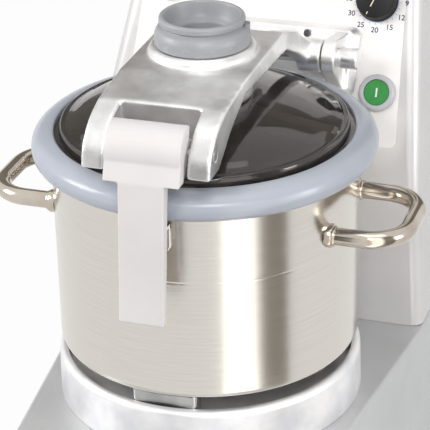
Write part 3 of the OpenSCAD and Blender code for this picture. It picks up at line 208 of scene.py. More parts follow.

# Column housing: the casting behind the bowl, upright below and leaning back above, painted as the base
# but a little warmer. Its lighter tone is painted light: the column is lit more brightly than the base. It
# stands on the base with a rounded foot.
column_paint = finish("column powder paint", (0.60, 0.588, 0.585), (0.67, 0.655, 0.65), (0.30, 0.40),
                      metallic=0.15, depth=0.00003)
eased("column_housing", column_paint, edge=0.0008, segments=2, clamp=False)
eased("rear_cover", sheet_steel, edge=0.0003, segments=2, clamp=False)

# Cover screws: six small steel screws hold the vented cover at the back. Their heads have six-sided key
# holes, and a Geometry Nodes tree sets them down both sides of the cover.
smooth_below = math.radians(35)


def repeated(name, template, places, body, material):
    """Set a template mesh on each place (a matrix) with a Geometry Nodes tree, and keep the result plain."""
    spots = bpy.data.meshes.new(name)
    spots.from_pydata([place.translation for place in places], [], [])
    turns = spots.attributes.new("turn", "FLOAT_VECTOR", "POINT")
    for entry, place in zip(turns.data, places):
        entry.vector = place.to_euler()
    piece = bpy.data.objects.new(name, spots)
    bpy.context.collection.objects.link(piece)
    tree = bpy.data.node_groups.new(name + " on its places", "GeometryNodeTree")
    tree.interface.new_socket("Geometry", in_out="INPUT", socket_type="NodeSocketGeometry")
    part = tree.interface.new_socket("Part", in_out="INPUT", socket_type="NodeSocketObject")
    size = tree.interface.new_socket("Part size", in_out="INPUT", socket_type="NodeSocketFloat")
    tree.interface.new_socket("Geometry", in_out="OUTPUT", socket_type="NodeSocketGeometry")
    start, end = tree.nodes.new("NodeGroupInput"), tree.nodes.new("NodeGroupOutput")
    info = tree.nodes.new("GeometryNodeObjectInfo")
    turn = tree.nodes.new("GeometryNodeInputNamedAttribute")
    turn.data_type = "FLOAT_VECTOR"
    turn.inputs["Name"].default_value = "turn"
    put = tree.nodes.new("GeometryNodeInstanceOnPoints")
    real = tree.nodes.new("GeometryNodeRealizeInstances")
    paint = tree.nodes.new("GeometryNodeSetMaterial")
    paint.inputs["Material"].default_value = material
    tree.links.new(start.outputs["Geometry"], put.inputs["Points"])
    tree.links.new(start.outputs["Part"], info.inputs["Object"])
    tree.links.new(start.outputs["Part size"], put.inputs["Scale"])
    tree.links.new(info.outputs["Geometry"], put.inputs["Instance"])
    tree.links.new(turn.outputs["Attribute"], put.inputs["Rotation"])
    tree.links.new(put.outputs["Instances"], real.inputs["Geometry"])
    tree.links.new(real.outputs["Geometry"], paint.inputs["Geometry"])
    tree.links.new(paint.outputs["Geometry"], end.inputs["Geometry"])
    nodes = piece.modifiers.new("set on its places", "NODES")
    nodes.node_group = tree
    nodes[part.identifier], nodes[size.identifier] = template, 1.0
    plain(piece)
    for face in piece.data.polygons:
        face.use_smooth = True
    piece.data.set_sharp_from_angle(angle=smooth_below)
    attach(piece, body)
    return piece


def plain(piece):
    """Turn a piece with modifiers into a plain mesh of the same shape."""
    bpy.context.view_layer.update()
    seen = piece.evaluated_get(bpy.context.evaluated_depsgraph_get())
    mesh = bpy.data.meshes.new_from_object(seen)
    piece.modifiers.clear()
    piece.data = mesh
    return piece


def built(name, shape):
    """Make a piece from a bmesh, and let the bmesh go."""
    mesh = bpy.data.meshes.new(name)
    shape.to_mesh(mesh)
    shape.free()
    piece = bpy.data.objects.new(name, mesh)
    bpy.context.collection.objects.link(piece)
    return piece


def socket_screw(name, head_r, head_h, edge, sides=48, flats=6, merge=1e-7):
    """A screw's head with an eased edge and a six-sided key hole, standing on Z = 0."""
    key_r, key_deep, cut = head_r * 0.5, head_h * 0.55, edge * 0.3
    shape = bmesh.new()
    rings = [
        (head_r, 0.0, sides), (head_r, head_h - edge, sides), (head_r - cut, head_h - cut, sides),
        (head_r - edge, head_h, sides), (key_r, head_h, flats), (key_r, head_h - key_deep, flats),
    ]
    loops = []
    for radius, height, stops in rings:
        turns = [2 * math.pi * (i * stops // sides) / stops for i in range(sides)]
        loops.append([
            shape.verts.new((radius * math.cos(turn), radius * math.sin(turn), height)) for turn in turns
        ])
    for low, high in zip(loops, loops[1:]):
        for i in range(sides):
            j = (i + 1) % sides
            shape.faces.new((low[i], low[j], high[j], high[i]))
    shape.faces.new(loops[-1])
    bmesh.ops.remove_doubles(shape, verts=shape.verts, dist=merge)
    bmesh.ops.dissolve_degenerate(shape, edges=shape.edges, dist=merge)
    return built(name, shape)


cover_head_r, cover_head_h, cover_head_edge = 0.0036, 0.0018, 0.0004
low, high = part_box("cover_screws")
template = socket_screw("cover_screw_head", cover_head_r, cover_head_h, cover_head_edge)
facing_back = Matrix.Rotation(math.radians(-90), 4, "X")
places = [
    Matrix.Translation((side * (high.x - cover_head_r), high.y - cover_head_h, z)) @ facing_back
    for side in (-1, 1)
    for z in (low.z + cover_head_r, (low.z + high.z) / 2, high.z - cover_head_r)
]
heads = repeated("cover_screw_heads", template, places, "machine", screw_steel)
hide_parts("cover_screws")
bpy.data.objects.remove(template)

# Control plate: a thin off-white sheet on the leaning face. Numbers in equal steps, ticks that a Geometry
# Nodes tree sets and a pale blue ring are printed on it. on_panel is the place of the leaning face: its X
# runs to the right, its Y up the face from the fold, and its Z out of it.
fold_y, fold_z, lean, plate_thick = 0.0855, 0.396, 27.5, 0.001
on_panel = Matrix.Translation((0.0, fold_y, fold_z)) @ Matrix.Rotation(math.radians(90 - lean), 4, "X")
knob_place = Vector((0.106, 0.160, plate_thick))
panel_white = finish("plate enamel", (0.83, 0.805, 0.785), (0.87, 0.845, 0.825), (0.30, 0.38),
                     patch=14.0, grain=1800.0, depth=0.00001, Specular_IOR_Level=0.35)
eased("control_plate", panel_white, edge=0.0003, segments=2, clamp=False)
dial_ink = finish("dial ink", (0.022, 0.028, 0.10), (0.034, 0.042, 0.13), (0.45, 0.55), patch=300.0,
                  Specular_IOR_Level=0.2)
ring_ink = finish("dial ring ink", (0.42, 0.52, 0.74), (0.50, 0.60, 0.80), (0.40, 0.50), patch=200.0)
dial_numbers = ("3", "6", "9", "12", "15", "20", "25", "30", "35")
dial_first, dial_last, number_step, tick_step = 60, -180, -30, -15
number_r, number_size, number_bold, ink_thick = 0.0286, 0.0073, 0.00010, 0.00003
tick_r, tick_long, tick_wide, tick_thick = 0.0226, 0.0018, 0.00056, 0.00006
ring_r, ring_wide, ring_thick = 0.0205, 0.0008, 0.00005


def on_dial(radius, turn, lift=0.0):
    """The place on the control plate at a radius and a turn in degrees round the knob's axis."""
    angle = math.radians(turn)
    spot = knob_place + Vector((radius * math.cos(angle), radius * math.sin(angle), lift))
    return on_panel @ Matrix.Translation(spot)


def joined(name, meshes):
    """Join plain meshes into one piece."""
    shape = bmesh.new()
    for mesh in meshes:
        shape.from_mesh(mesh)
    return built(name, shape)


def added(piece, body, material):
    """Give a piece that only the visual model has its finish, and let it ride on a body."""
    piece.data.materials.clear()
    piece.data.materials.append(material)
    for face in piece.data.polygons:
        face.material_index = 0
    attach(piece, body)
    return piece


def turned(name, profile, steps=64, closed=False):
    """Turn a profile of (radius, height) points round the Z axis. An end on the axis closes to a pole."""
    shape = bmesh.new()
    turns = [2 * math.pi * i / steps for i in range(steps)]
    rings = []
    for radius, height in profile:
        if radius == 0.0:
            rings.append([shape.verts.new((0.0, 0.0, height))] * steps)
            continue
        rings.append([
            shape.verts.new((radius * math.cos(turn), radius * math.sin(turn), height)) for turn in turns
        ])
    pairs = list(zip(rings, rings[1:])) + ([(rings[-1], rings[0])] if closed else [])
    for low, high in pairs:
        for i in range(steps):
            j = (i + 1) % steps
            corners = list(dict.fromkeys((low[i], low[j], high[j], high[i])))
            if len(corners) > 2:
                shape.faces.new(corners)
    bmesh.ops.recalc_face_normals(shape, faces=shape.faces)
    piece = built(name, shape)
    for face in piece.data.polygons:
        face.use_smooth = True
    piece.data.set_sharp_from_angle(angle=smooth_below)
    return piece


def flat_ring(name, inner, outer, thick, steps):
    """A flat ring that lies on Z = 0."""
    return turned(name, [(inner, 0.0), (outer, 0.0), (outer, thick), (inner, thick)], steps, closed=True)


numbers = []
for turn, number in zip(range(dial_first, dial_last - 1, number_step), dial_numbers):
    words = bpy.data.curves.new("number_" + number, "FONT")
    words.body, words.size, words.align_x, words.align_y = number, number_size, "CENTER", "CENTER"
    words.extrude, words.offset = ink_thick, number_bold
    letters = bpy.data.objects.new("number_" + number, words)
    bpy.context.collection.objects.link(letters)
    plain_mesh = bpy.data.meshes.new_from_object(letters)
    bpy.data.objects.remove(letters)
    plain_mesh.transform(on_dial(number_r, turn, ink_thick))
    numbers.append(plain_mesh)
added(joined("dial_numbers", numbers), "machine", dial_ink)

template = turned("tick", [(0.0, 0.0), (0.5, 0.0), (0.5, tick_thick), (0.0, tick_thick)], 4)
template.data.transform(Matrix.Diagonal((tick_long, tick_wide, 1.0, 1.0)))
places = [
    on_dial(tick_r, turn) @ Matrix.Rotation(math.radians(turn), 4, "Z")
    for turn in range(dial_first, dial_last - 1, tick_step)
]
repeated("dial_ticks", template, places, "machine", dial_ink)
bpy.data.objects.remove(template)
ring = flat_ring("dial_ring", ring_r, ring_r + ring_wide, ring_thick, 96)
ring.data.transform(on_panel @ Matrix.Translation(knob_place))
added(ring, "machine", ring_ink)

# Push buttons: each stands in a raised grey collar with a rounded edge, and is moulded in coloured
# plastic. The start button carries a white bar, the stop button a white ring, and the third is plain.
collar_grey = finish("collar plastic", (0.45, 0.45, 0.475), (0.51, 0.51, 0.535), (0.30, 0.40), patch=60.0)
button_green = finish("green plastic", (0.020, 0.235, 0.040), (0.028, 0.285, 0.052), (0.22, 0.32), patch=90.0)
button_red = finish("red plastic", (0.42, 0.016, 0.016), (0.52, 0.025, 0.022), (0.22, 0.32), patch=90.0)
button_black = finish("black plastic", (0.014, 0.014, 0.015), (0.022, 0.022, 0.024), (0.25, 0.38), patch=90.0)
bar_white = finish("white inlay", (0.80, 0.80, 0.78), (0.86, 0.86, 0.84), (0.30, 0.40), patch=200.0)
eased("button_collars", collar_grey, edge=0.0006)
eased("start_button", button_green, edge=0.0005)
eased("stop_button", button_red, edge=0.0005)
eased("pulse_button", button_black, edge=0.0005)
button_x, button_y, button_h = 0.117, 0.071, 0.007
inlay_thick, inlay_sunk = 0.0002, 0.0001
inlay_z = plate_thick + button_h - inlay_sunk
bar_wide, bar_long, mark_inner, mark_outer = 0.0016, 0.0088, 0.0052, 0.0066


def inlay(name, long, wide, thick):
    """A flat block on Z = 0 with its middle on the Z axis, long on X and wide on Y. It starts as a post
    whose sides are one by one."""
    half_diagonal = 0.7071
    piece = turned(name, [(0.0, 0.0), (half_diagonal, 0.0), (half_diagonal, 1.0), (0.0, 1.0)], 4)
    piece.data.transform(
        Matrix.Diagonal((long, wide, thick, 1.0)) @ Matrix.Rotation(math.radians(45), 4, "Z")
    )
    return piece


bar = inlay("start_bar", bar_wide, bar_long, inlay_thick)
bar.data.transform(on_panel @ Matrix.Translation((button_x, button_y, inlay_z)))
added(bar, "start", bar_white)
mark = flat_ring("stop_ring", mark_inner, mark_outer, inlay_thick, 64)
mark.data.transform(on_panel @ Matrix.Translation((-button_x, button_y, inlay_z)))
added(mark, "stop", bar_white)
switch_plastic = finish("switch housing", (0.10, 0.10, 0.105), (0.14, 0.14, 0.145), (0.40, 0.55), patch=50.0)
kept(switch_plastic, "switch_blocks")

# Speed knob: a black moulded knob with a shallow skirt and fine grips, and a cream line that points at the
# dial. It sits on the spindle of a sealed potentiometer behind the plate.
knob_plastic = finish("knob plastic", (0.005, 0.005, 0.005), (0.009, 0.009, 0.009), (0.42, 0.52), patch=70.0,
                      Specular_IOR_Level=0.25)
pointer_paint = finish("cream inlay", (0.62, 0.56, 0.30), (0.70, 0.64, 0.38), (0.35, 0.45), patch=200.0)
knob_r, knob_top, knob_low, skirt_top = 0.0205, 0.0170, 0.0008, 0.0048
grips, grip_deep, grip_top, grip_inner = 24, 0.018, 0.0168, 0.010
knob = turned("speed_knob_body", [
    (0.0, knob_low), (knob_r - 0.0006, knob_low), (knob_r, 0.0014), (knob_r, 0.0030),
    (knob_r - 0.0004, 0.0036), (knob_r - 0.0009, skirt_top), (knob_r - 0.0013, 0.0150),
    (knob_r - 0.0020, 0.0164), (knob_r - 0.0034, knob_top), (0.0, knob_top),
], 96)
for vertex in knob.data.vertices:
    if skirt_top < vertex.co.z < grip_top and vertex.co.xy.length > grip_inner:
        wave = math.cos(grips * math.atan2(vertex.co.y, vertex.co.x))
        vertex.co.xy *= 1.0 - grip_deep * (1.0 - wave) / 2
knob.data.transform(on_panel @ Matrix.Translation(knob_place))
fitted(knob, ["speed_knob"], knob_plastic)
point_turn, line_thick, line_z = math.radians(-112), 0.0003, knob_top - inlay_sunk
lines = []
for start, end, width in ((0.0015, 0.0085, 0.0011), (0.0140, 0.0168, 0.0009)):
    line = inlay("line", end - start, width, line_thick)
    line.data.transform(
        on_panel @ Matrix.Translation(knob_place) @ Matrix.Rotation(point_turn, 4, "Z")
        @ Matrix.Translation(((start + end) / 2, 0.0, line_z))
    )
    lines.append(line.data)
    bpy.data.objects.remove(line)
added(joined("knob_pointer", lines), "speed", pointer_paint)
kept(screw_steel, "knob_spindle")
kept(sheet_steel, "speed_potentiometer")

# Bowl seat: a cast aluminium ring with a rounded top edge, satin inside and out, screwed to the base. A
# painted highlight brightens its edges. The bowl stands in it on three feet, and a rubber lip keeps liquid
# off the shaft.
seat_metal = finish("satin cast aluminium", (0.68, 0.685, 0.71), (0.88, 0.867, 0.862), (0.32, 0.48),
                    metallic=0.60, patch=36.0, grain=900.0, depth=0.00008, edge_highlight=0.6)
eased("bowl_seat_ring", seat_metal, edge=0.0012, clamp=False)
kept(screw_steel, "seat_ring_screws")
seal_black = finish("lip seal rubber", (0.018, 0.018, 0.019), (0.028, 0.028, 0.030), (0.50, 0.65), patch=80.0)
kept(seal_black, "shaft_seal")

# Motor: a painted drum with cast end bells, tie bolts, ball bearings, a laminated core with copper
# windings, and a fan. It hangs under the base's top, and its shaft comes up through the seat.
motor_iron = finish("cast iron paint", (0.12, 0.125, 0.13), (0.17, 0.175, 0.18), (0.40, 0.55),
                    patch=25.0, grain=900.0, depth=0.00006)
winding_copper = finish("wound copper", (0.42, 0.17, 0.07), (0.56, 0.25, 0.11), (0.30, 0.45), metallic=0.9,
                        patch=50.0, grain=30.0, depth=0.0004, stretch=(1.0, 1.0, 30.0))
shaft_steel = finish("ground steel", (0.50, 0.50, 0.51), (0.62, 0.62, 0.63), (0.12, 0.22), metallic=1.0,
                     grain=20.0, depth=0.000004, stretch=(1.0, 1.0, 120.0))
fan_plastic = finish("fan plastic", (0.040, 0.042, 0.046), (0.060, 0.062, 0.066), (0.45, 0.60), patch=40.0)
kept(motor_iron, "motor_frame", "motor_upper_bell", "motor_lower_bell")
kept(winding_copper, "motor_stator")
kept(shaft_steel, "motor_shaft", "motor_rotor", "upper_bearing", "lower_bearing")
kept(screw_steel, "motor_tie_bolts", "motor_mount_bolts")
kept(fan_plastic, "cooling_fan")

# Bowl: drawn from 2 mm stainless sheet, with a rolled rim, a fine weld line and a rounded bottom edge, and
# brushed round its axis in level rings. A short straight band beside each bend keeps the shading of the
# tall wall level.
bowl_foot_z, bowl_r, bowl_h, bowl_wall, bowl_bore, bottom_r = 0.283, 0.140, 0.182, 0.002, 0.0275, 0.007
weld_z, weld_deep, weld_half, weld_floor = 0.117, 0.00014, 0.0006, 0.0002
bead_out, bead_down, bead_r, bead_foot, bead_inner = 0.0011, 0.0021, 0.0019, 0.0042, 0.0040
straight = 0.0010
bowl_centre = Matrix.Translation((0.0, bowl_axis_y, bowl_foot_z))


def corner(centre_r, centre_z, radius, start, end, steps=8):
    """Points of a round corner of a profile, from one angle to another in degrees."""
    return [
        (
            centre_r + radius * math.cos(math.radians(start + (end - start) * i / steps)),
            centre_z + radius * math.sin(math.radians(start + (end - start) * i / steps)),
        ) for i in range(steps + 1)
    ]


def brushed(name, dark, light, roughness, rings=620.0, depth=0.000014, streak=22.0, metallic=1.0):
    """Make a metal brushed in rings round the bowl's axis. The grain follows height and radius, drifts
    slowly from left to right, and shades the colour."""
    patch, grain_contrast, grain_base = 7.0, 0.20, 0.40
    material = finish(name, dark, light, roughness, metallic=metallic, patch=patch, depth=depth)
    tree = material.node_tree
    place = next(node for node in tree.nodes if node.type == "TEX_COORD")
    ramp = next(node for node in tree.nodes if node.type == "VALTORGB")
    noises = [node for node in tree.nodes if node.type == "TEX_NOISE"]
    grain = max(noises, key=lambda node: node.inputs["Scale"].default_value)
    grain.inputs["Scale"].default_value = rings
    split = tree.nodes.new("ShaderNodeSeparateXYZ")
    length = tree.nodes.new("ShaderNodeVectorMath")
    length.operation = "LENGTH"
    centre = tree.nodes.new("ShaderNodeMapping")
    centre.inputs["Location"].default_value = (0.0, -bowl_axis_y, 0.0)
    flat = tree.nodes.new("ShaderNodeCombineXYZ")
    lay = tree.nodes.new("ShaderNodeCombineXYZ")
    add = tree.nodes.new("ShaderNodeMath")
    tree.links.new(place.outputs["Object"], centre.inputs["Vector"])
    tree.links.new(centre.outputs["Vector"], split.inputs["Vector"])
    tree.links.new(split.outputs["X"], flat.inputs["X"])
    tree.links.new(split.outputs["Y"], flat.inputs["Y"])
    tree.links.new(flat.outputs["Vector"], length.inputs[0])
    tree.links.new(length.outputs["Value"], add.inputs[0])
    tree.links.new(split.outputs["Z"], add.inputs[1])
    drift = tree.nodes.new("ShaderNodeMath")
    drift.operation, drift.inputs[1].default_value = "MULTIPLY", streak / rings
    tree.links.new(split.outputs["X"], drift.inputs[0])
    tree.links.new(drift.outputs["Value"], lay.inputs["X"])
    tree.links.new(add.outputs["Value"], lay.inputs["Z"])
    mapping = grain.inputs["Vector"].links[0].from_node
    tree.links.new(lay.outputs["Vector"], mapping.inputs["Vector"])
    tone = tree.nodes.new("ShaderNodeMath")
    tone.operation = "MULTIPLY_ADD"
    tone.inputs[1].default_value, tone.inputs[2].default_value = grain_contrast, grain_base
    tree.links.new(grain.outputs["Fac"], tone.inputs[0])
    tree.links.new(tone.outputs["Value"], ramp.inputs["Fac"])
    return material


bowl_steel = brushed("brushed stainless", (0.57, 0.54, 0.492), (0.75, 0.72, 0.67), (0.12, 0.21))
bowl_steel.node_tree.nodes["Principled BSDF"].inputs["Anisotropic"].default_value = 0.65
weld_outline = [
    (bowl_r, weld_z - weld_half - straight), (bowl_r, weld_z - weld_half),
    (bowl_r - weld_deep, weld_z - weld_floor), (bowl_r - weld_deep, weld_z + weld_floor),
    (bowl_r, weld_z + weld_half), (bowl_r, weld_z + weld_half + straight),
]
profile = (
    [(bowl_bore, 0.0)] + corner(bowl_r - bottom_r, bottom_r, bottom_r, -90, 0)
    + [(bowl_r, bottom_r + straight)] + weld_outline
    + [(bowl_r, bowl_h - bead_foot - straight), (bowl_r, bowl_h - bead_foot)]
    + corner(bowl_r + bead_out, bowl_h - bead_down, bead_r, -150, 140)
    + [(bowl_r - bowl_wall, bowl_h - bead_inner)]
    + corner(bowl_r - bottom_r, bottom_r, bottom_r - bowl_wall, 0, -90) + [(bowl_bore, bowl_wall)]
)
bowl = turned("bowl_shell", profile, 288, closed=True)
bowl.data.transform(bowl_centre)
fitted(bowl, ["bowl"], bowl_steel)
bowl.data.set_sharp_from_angle(angle=math.radians(30))
kept(bowl_steel, "bowl_tube")

# Bowl feet and catch: three cast lugs under the bowl's edge stand in the ring, and a pressed steel catch
# welded to the front takes the lever's hook.
foot_metal = finish("bright cast lugs", (0.36, 0.36, 0.36), (0.48, 0.48, 0.47), (0.16, 0.28),
                    metallic=1.0, patch=40.0)
eased("bowl_feet", foot_metal, edge=0.0012)
eased("bowl_catch", bowl_steel, edge=0.0010)

# Bowl handles: polished stainless rod bent into a flat loop, 16 mm thick. Each leg ends in a turned collar
# that is welded to the wall.
# The handle steel's warm brown tint is a painted reflection of the brown surroundings that the polished rod
# mirrors.
handle_steel = finish("polished stainless", (0.46, 0.40, 0.335), (0.60, 0.54, 0.47), (0.11, 0.17),
                      metallic=1.0, patch=30.0, grain=700.0, depth=0.000001)
handle_z, handle_reach, handle_r, bend_r, bend_steps = 0.135, 0.194, 0.008, 0.034, 16
leg_y, leg_sunk, leg_straight_x = 0.049, 0.003, 0.150
wall_x = math.sqrt(bowl_r ** 2 - leg_y ** 2)
collar_outline = [
    (0.0076, -0.004), (0.0108, -0.004), (0.0108, 0.0020), (0.0104, 0.0026), (0.0093, 0.0028),
    (0.0093, 0.0046), (0.0088, 0.0052), (0.0076, 0.0052),
]


def tube(name, path, radius, sides=32):
    """A round bar along a level path, cut square at both ends."""
    shape, rise = bmesh.new(), Vector((0.0, 0.0, 1.0))
    turns = [2 * math.pi * k / sides for k in range(sides)]
    rings = []
    for i, point in enumerate(path):
        ahead = path[min(i + 1, len(path) - 1)] - path[max(i - 1, 0)]
        side = Vector((-ahead.y, ahead.x, 0.0)).normalized()
        rings.append([
            shape.verts.new(point + side * radius * math.cos(turn) + rise * radius * math.sin(turn))
            for turn in turns
        ])
    for low, high in zip(rings, rings[1:]):
        for k in range(sides):
            shape.faces.new((low[k], low[(k + 1) % sides], high[(k + 1) % sides], high[k]))
    shape.faces.new(rings[0])
    shape.faces.new(rings[-1])
    bmesh.ops.recalc_face_normals(shape, faces=shape.faces)
    mesh = bpy.data.meshes.new(name)
    shape.to_mesh(mesh)
    shape.free()
    return mesh


bend_x, bend_y = handle_reach - bend_r, leg_y - bend_r
path = [Vector((x, y, 0.0)) for x, y in (
    [(wall_x - leg_sunk, -leg_y), (leg_straight_x, -leg_y)]
    + corner(bend_x, -bend_y, bend_r, -90, 0, bend_steps) + corner(bend_x, bend_y, bend_r, 0, 90, bend_steps)
    + [(leg_straight_x, leg_y), (wall_x - leg_sunk, leg_y)]
)]
for turn, node in ((math.pi, "bowl_handle_left"), (0.0, "bowl_handle_right")):
    meshes = [tube("rod", path, handle_r)]
    for leg in (-leg_y, leg_y):
        collar = turned("collar", collar_outline, 48, closed=True)
        collar.data.transform(
            Matrix.Translation((wall_x, leg, 0.0)) @ Matrix.Rotation(math.radians(90), 4, "Y")
        )
        meshes.append(collar.data)
        bpy.data.objects.remove(collar)
    handle = joined(node + "_bar", meshes)
    handle.data.transform(
        bowl_centre @ Matrix.Translation((0.0, 0.0, handle_z)) @ Matrix.Rotation(turn, 4, "Z")
    )
    fitted(handle, [node], handle_steel)
    handle.data.set_sharp_from_angle(angle=math.radians(40))

# Cutter: a turned steel hub on the shaft carries two sickle blades, ground from steel plate and set one
# above the other. A domed cap holds them down.
blade_steel = finish("ground blade steel", (0.55, 0.55, 0.55), (0.66, 0.66, 0.65), (0.14, 0.26),
                     metallic=1.0, patch=20.0, grain=30.0, depth=0.000005, stretch=(40.0, 1.0, 1.0))
hub_steel = finish("turned hub steel", (0.50, 0.49, 0.48), (0.60, 0.59, 0.58), (0.22, 0.34), metallic=1.0,
                   patch=20.0, grain=14.0, depth=0.000006, stretch=(1.0, 1.0, 150.0))
for node in ("lower_blade", "upper_blade"):
    eased(node, blade_steel, edge=0.0003, segments=2)
kept(hub_steel, "blade_hub", "hub_cap")

# Hinge bracket: cast aluminium, blasted to a fine grain, bolted to the plate through four dark socket
# screws. Its two lugs hold the polished pin, whose turned head stands out on the right.
def cast(node, material, skin_size=0.0011, rounds=6):
    """Copy a CAD node as a casting: every edge is rounded and every inner corner filled a little."""
    piece = merged_copy(node)
    skin = piece.modifiers.new("skin", "REMESH")
    skin.mode, skin.voxel_size = "VOXEL", skin_size
    soft = piece.modifiers.new("rounded", "SMOOTH")
    soft.factor, soft.iterations = 0.5, rounds
    plain(piece)
    return fitted(piece, [node], material)


# A painted highlight brightens the bracket's edges.
bracket_metal = finish("blasted cast aluminium", (0.66, 0.655, 0.65), (0.86, 0.855, 0.85), (0.34, 0.48),
                       metallic=0.85, patch=24.0, grain=600.0, depth=0.00014, edge_highlight=0.6)
cast("hinge_bracket", bracket_metal)
dark_steel = finish("blackened steel", (0.07, 0.07, 0.075), (0.12, 0.12, 0.125), (0.28, 0.42),
                    metallic=0.9, patch=80.0)
bracket_low, bracket_h, bracket_out, screw_inset = 0.063, 0.070, 0.0150, 0.012
solid_head_r, screw_head_r, screw_head_h, screw_edge, screw_sunk = 0.0055, 0.0034, 0.0012, 0.0004, 0.0001
low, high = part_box("bracket_screws")
template = socket_screw("bracket_screw_head", screw_head_r, screw_head_h, screw_edge)
places = [
    on_panel @ Matrix.Translation((side * (high.x - solid_head_r), up_face, bracket_out - screw_sunk))
    for side in (-1, 1)
    for up_face in (bracket_low + screw_inset, bracket_low + bracket_h - screw_inset)
]
heads = repeated("bracket_screw_heads", template, places, "machine", dark_steel)
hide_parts("bracket_screws")
bpy.data.objects.remove(template)
pin_steel = finish("polished pin steel", (0.78, 0.78, 0.775), (0.88, 0.88, 0.875), (0.26, 0.38),
                   metallic=1.0, patch=30.0, grain=900.0, depth=0.000003)
low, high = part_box("hinge_pin")
pin_y, pin_z, head_r, head_x = (low.y + high.y) / 2, (low.z + high.z) / 2, (high.z - low.z) / 2, high.x
pin_r, head_long, cut, groove = 0.0080, 0.0200, 0.0012, 0.0006
pin = turned("hinge_pin_bar", [
    (0.0, low.x), (pin_r - 0.0006, low.x), (pin_r, low.x + 0.0008), (pin_r, head_x - head_long),
    (head_r - cut, head_x - head_long), (head_r - cut, head_x - 0.0172), (head_r - 0.0004, head_x - 0.0168),
    (head_r, head_x - 0.0160), (head_r, head_x - 0.0056), (head_r - groove, head_x - 0.0052),
    (head_r - groove, head_x - 0.0046), (head_r, head_x - 0.0042), (head_r, head_x - cut),
    (head_r - cut, head_x), (0.0, head_x),
])
pin.data.transform(Matrix.Translation((0.0, pin_y, pin_z)) @ Matrix.Rotation(math.radians(90), 4, "Y"))
fitted(pin, ["hinge_pin"], pin_steel)
pin.data.set_sharp_from_angle(angle=math.radians(40))
kept(pin_steel, "pin_clip")
bush_bronze = finish("bearing bronze", (0.40, 0.27, 0.13), (0.52, 0.36, 0.18), (0.24, 0.38),
                     metallic=1.0, patch=60.0)
kept(bush_bronze, "hinge_bushes")

# Lid arm: one aluminium casting over the lid, forked at the front for the lever and at the back for the
# hinge, with a raised ring for the funnel. It is blasted, and a painted highlight brightens its edges.
arm_metal = finish("arm cast aluminium", (0.56, 0.55, 0.54), (0.84, 0.835, 0.825), (0.30, 0.46),
                   metallic=0.96, patch=30.0, grain=620.0, depth=0.00015, edge_highlight=0.8)
cast("lid_arm", arm_metal, skin_size=0.0015, rounds=8)
kept(pin_steel, "lever_pin")
clamp_metal = finish("clamp aluminium", (0.44, 0.44, 0.45), (0.54, 0.54, 0.55), (0.28, 0.40),
                     metallic=0.9, patch=40.0)
kept(clamp_metal, "window_clamp")

# Lid seal: a moulded ring of pale blue-grey silicone that sits on the bowl's rim. It bulges at its middle
# and has a groove at the top for the window.
lid_lift = 0.0003
lid_centre = Matrix.Translation((0.0, bowl_axis_y, bowl_foot_z + bowl_h + lid_lift))
seal_rubber = finish("blue-grey silicone", (0.37, 0.395, 0.45), (0.42, 0.445, 0.50), (0.20, 0.28), patch=10.0,
                     grain=900.0, depth=0.000002)
seal_r, seal_foot_r, seal_top_r, seal_bore_r = 0.1574, 0.151, 0.1363, 0.133
skirt_out_r, skirt_deep, groove_r, groove_low, groove_top = 0.1365, 0.004, 0.1413, 0.0175, 0.0215


def curve(points, steps=8):
    """A smooth curve through profile points, with steps parts between each two of them."""
    out = []
    for i in range(len(points) - 1):
        near = points[max(i - 1, 0)], points[i], points[i + 1], points[min(i + 2, len(points) - 1)]
        for t in (k / steps for k in range(steps)):
            out.append(tuple(
                0.5 * (
                    2 * b + (c - a) * t
                    + (2 * a - 5 * b + 4 * c - d) * t * t + (3 * b - a - 3 * c + d) * t ** 3
                ) for a, b, c, d in zip(*near)
            ))
    return out + [points[-1]]


bulge = curve([
    (seal_foot_r, 0.0003), (seal_foot_r + 0.0046, 0.0042), (seal_r - 0.0003, 0.0095),
    (seal_r - 0.0007, 0.0135), (0.1545, 0.0183), (0.1490, 0.0228), (0.1425, 0.0252),
    (seal_top_r + 0.0018, 0.0258),
], 5)
seal = turned("lid_seal_ring", (
    [(seal_bore_r, -skirt_deep), (skirt_out_r, -skirt_deep), (skirt_out_r, 0.0002)] + bulge
    + [(seal_top_r + 0.0004, 0.0250), (seal_top_r, 0.0240), (seal_top_r, groove_top),
       (groove_r, groove_top), (groove_r, groove_low), (seal_bore_r, groove_low)]
), 288, closed=True)
seal.data.transform(lid_centre)
fitted(seal, ["lid_seal"], seal_rubber)
seal.data.set_sharp_from_angle(angle=math.radians(32))

# Lid window: a dome of smoked polycarbonate, 4 mm thick, with a stepped flange that the seal grips. The
# clamp ring pulls it against the arm's hub.
window_smoked = finish("smoked polycarbonate", (0.28, 0.25, 0.23), (0.32, 0.29, 0.27), (0.02, 0.05),
                       patch=6.0, grain=60.0, depth=0.00001, Transmission_Weight=0.94, IOR=1.50)
window_bore, flange_r, flange_low = 0.0363, 0.1408, 0.0176
dome_outside = curve([
    (window_bore, 0.0540), (0.0560, 0.0528), (0.0850, 0.0475), (0.1080, 0.0400), (0.1200, 0.0340),
    (0.1245, 0.0318),
], 5)
shoulder_and_flange = [
    (0.1262, 0.0312), (0.1276, 0.0316), (0.1292, 0.0312), (0.1306, 0.0298), (0.1310, 0.0282),
    (0.1310, 0.0225), (0.1316, 0.0216), (flange_r, 0.0214), (flange_r, flange_low), (0.1270, flange_low),
    (0.1270, 0.0260), (0.1262, 0.0275),
]
dome_inside = curve([
    (0.1235, 0.0279), (0.1190, 0.0301), (0.1065, 0.0362), (0.0840, 0.0436), (0.0555, 0.0488),
    (window_bore, 0.0500),
], 5)
window_outline = dome_outside + shoulder_and_flange + dome_inside
window = turned("lid_window_dome", window_outline, 256, closed=True)
window.data.transform(lid_centre)
fitted(window, ["lid_window"], window_smoked)
window.data.set_sharp_from_angle(angle=math.radians(38))

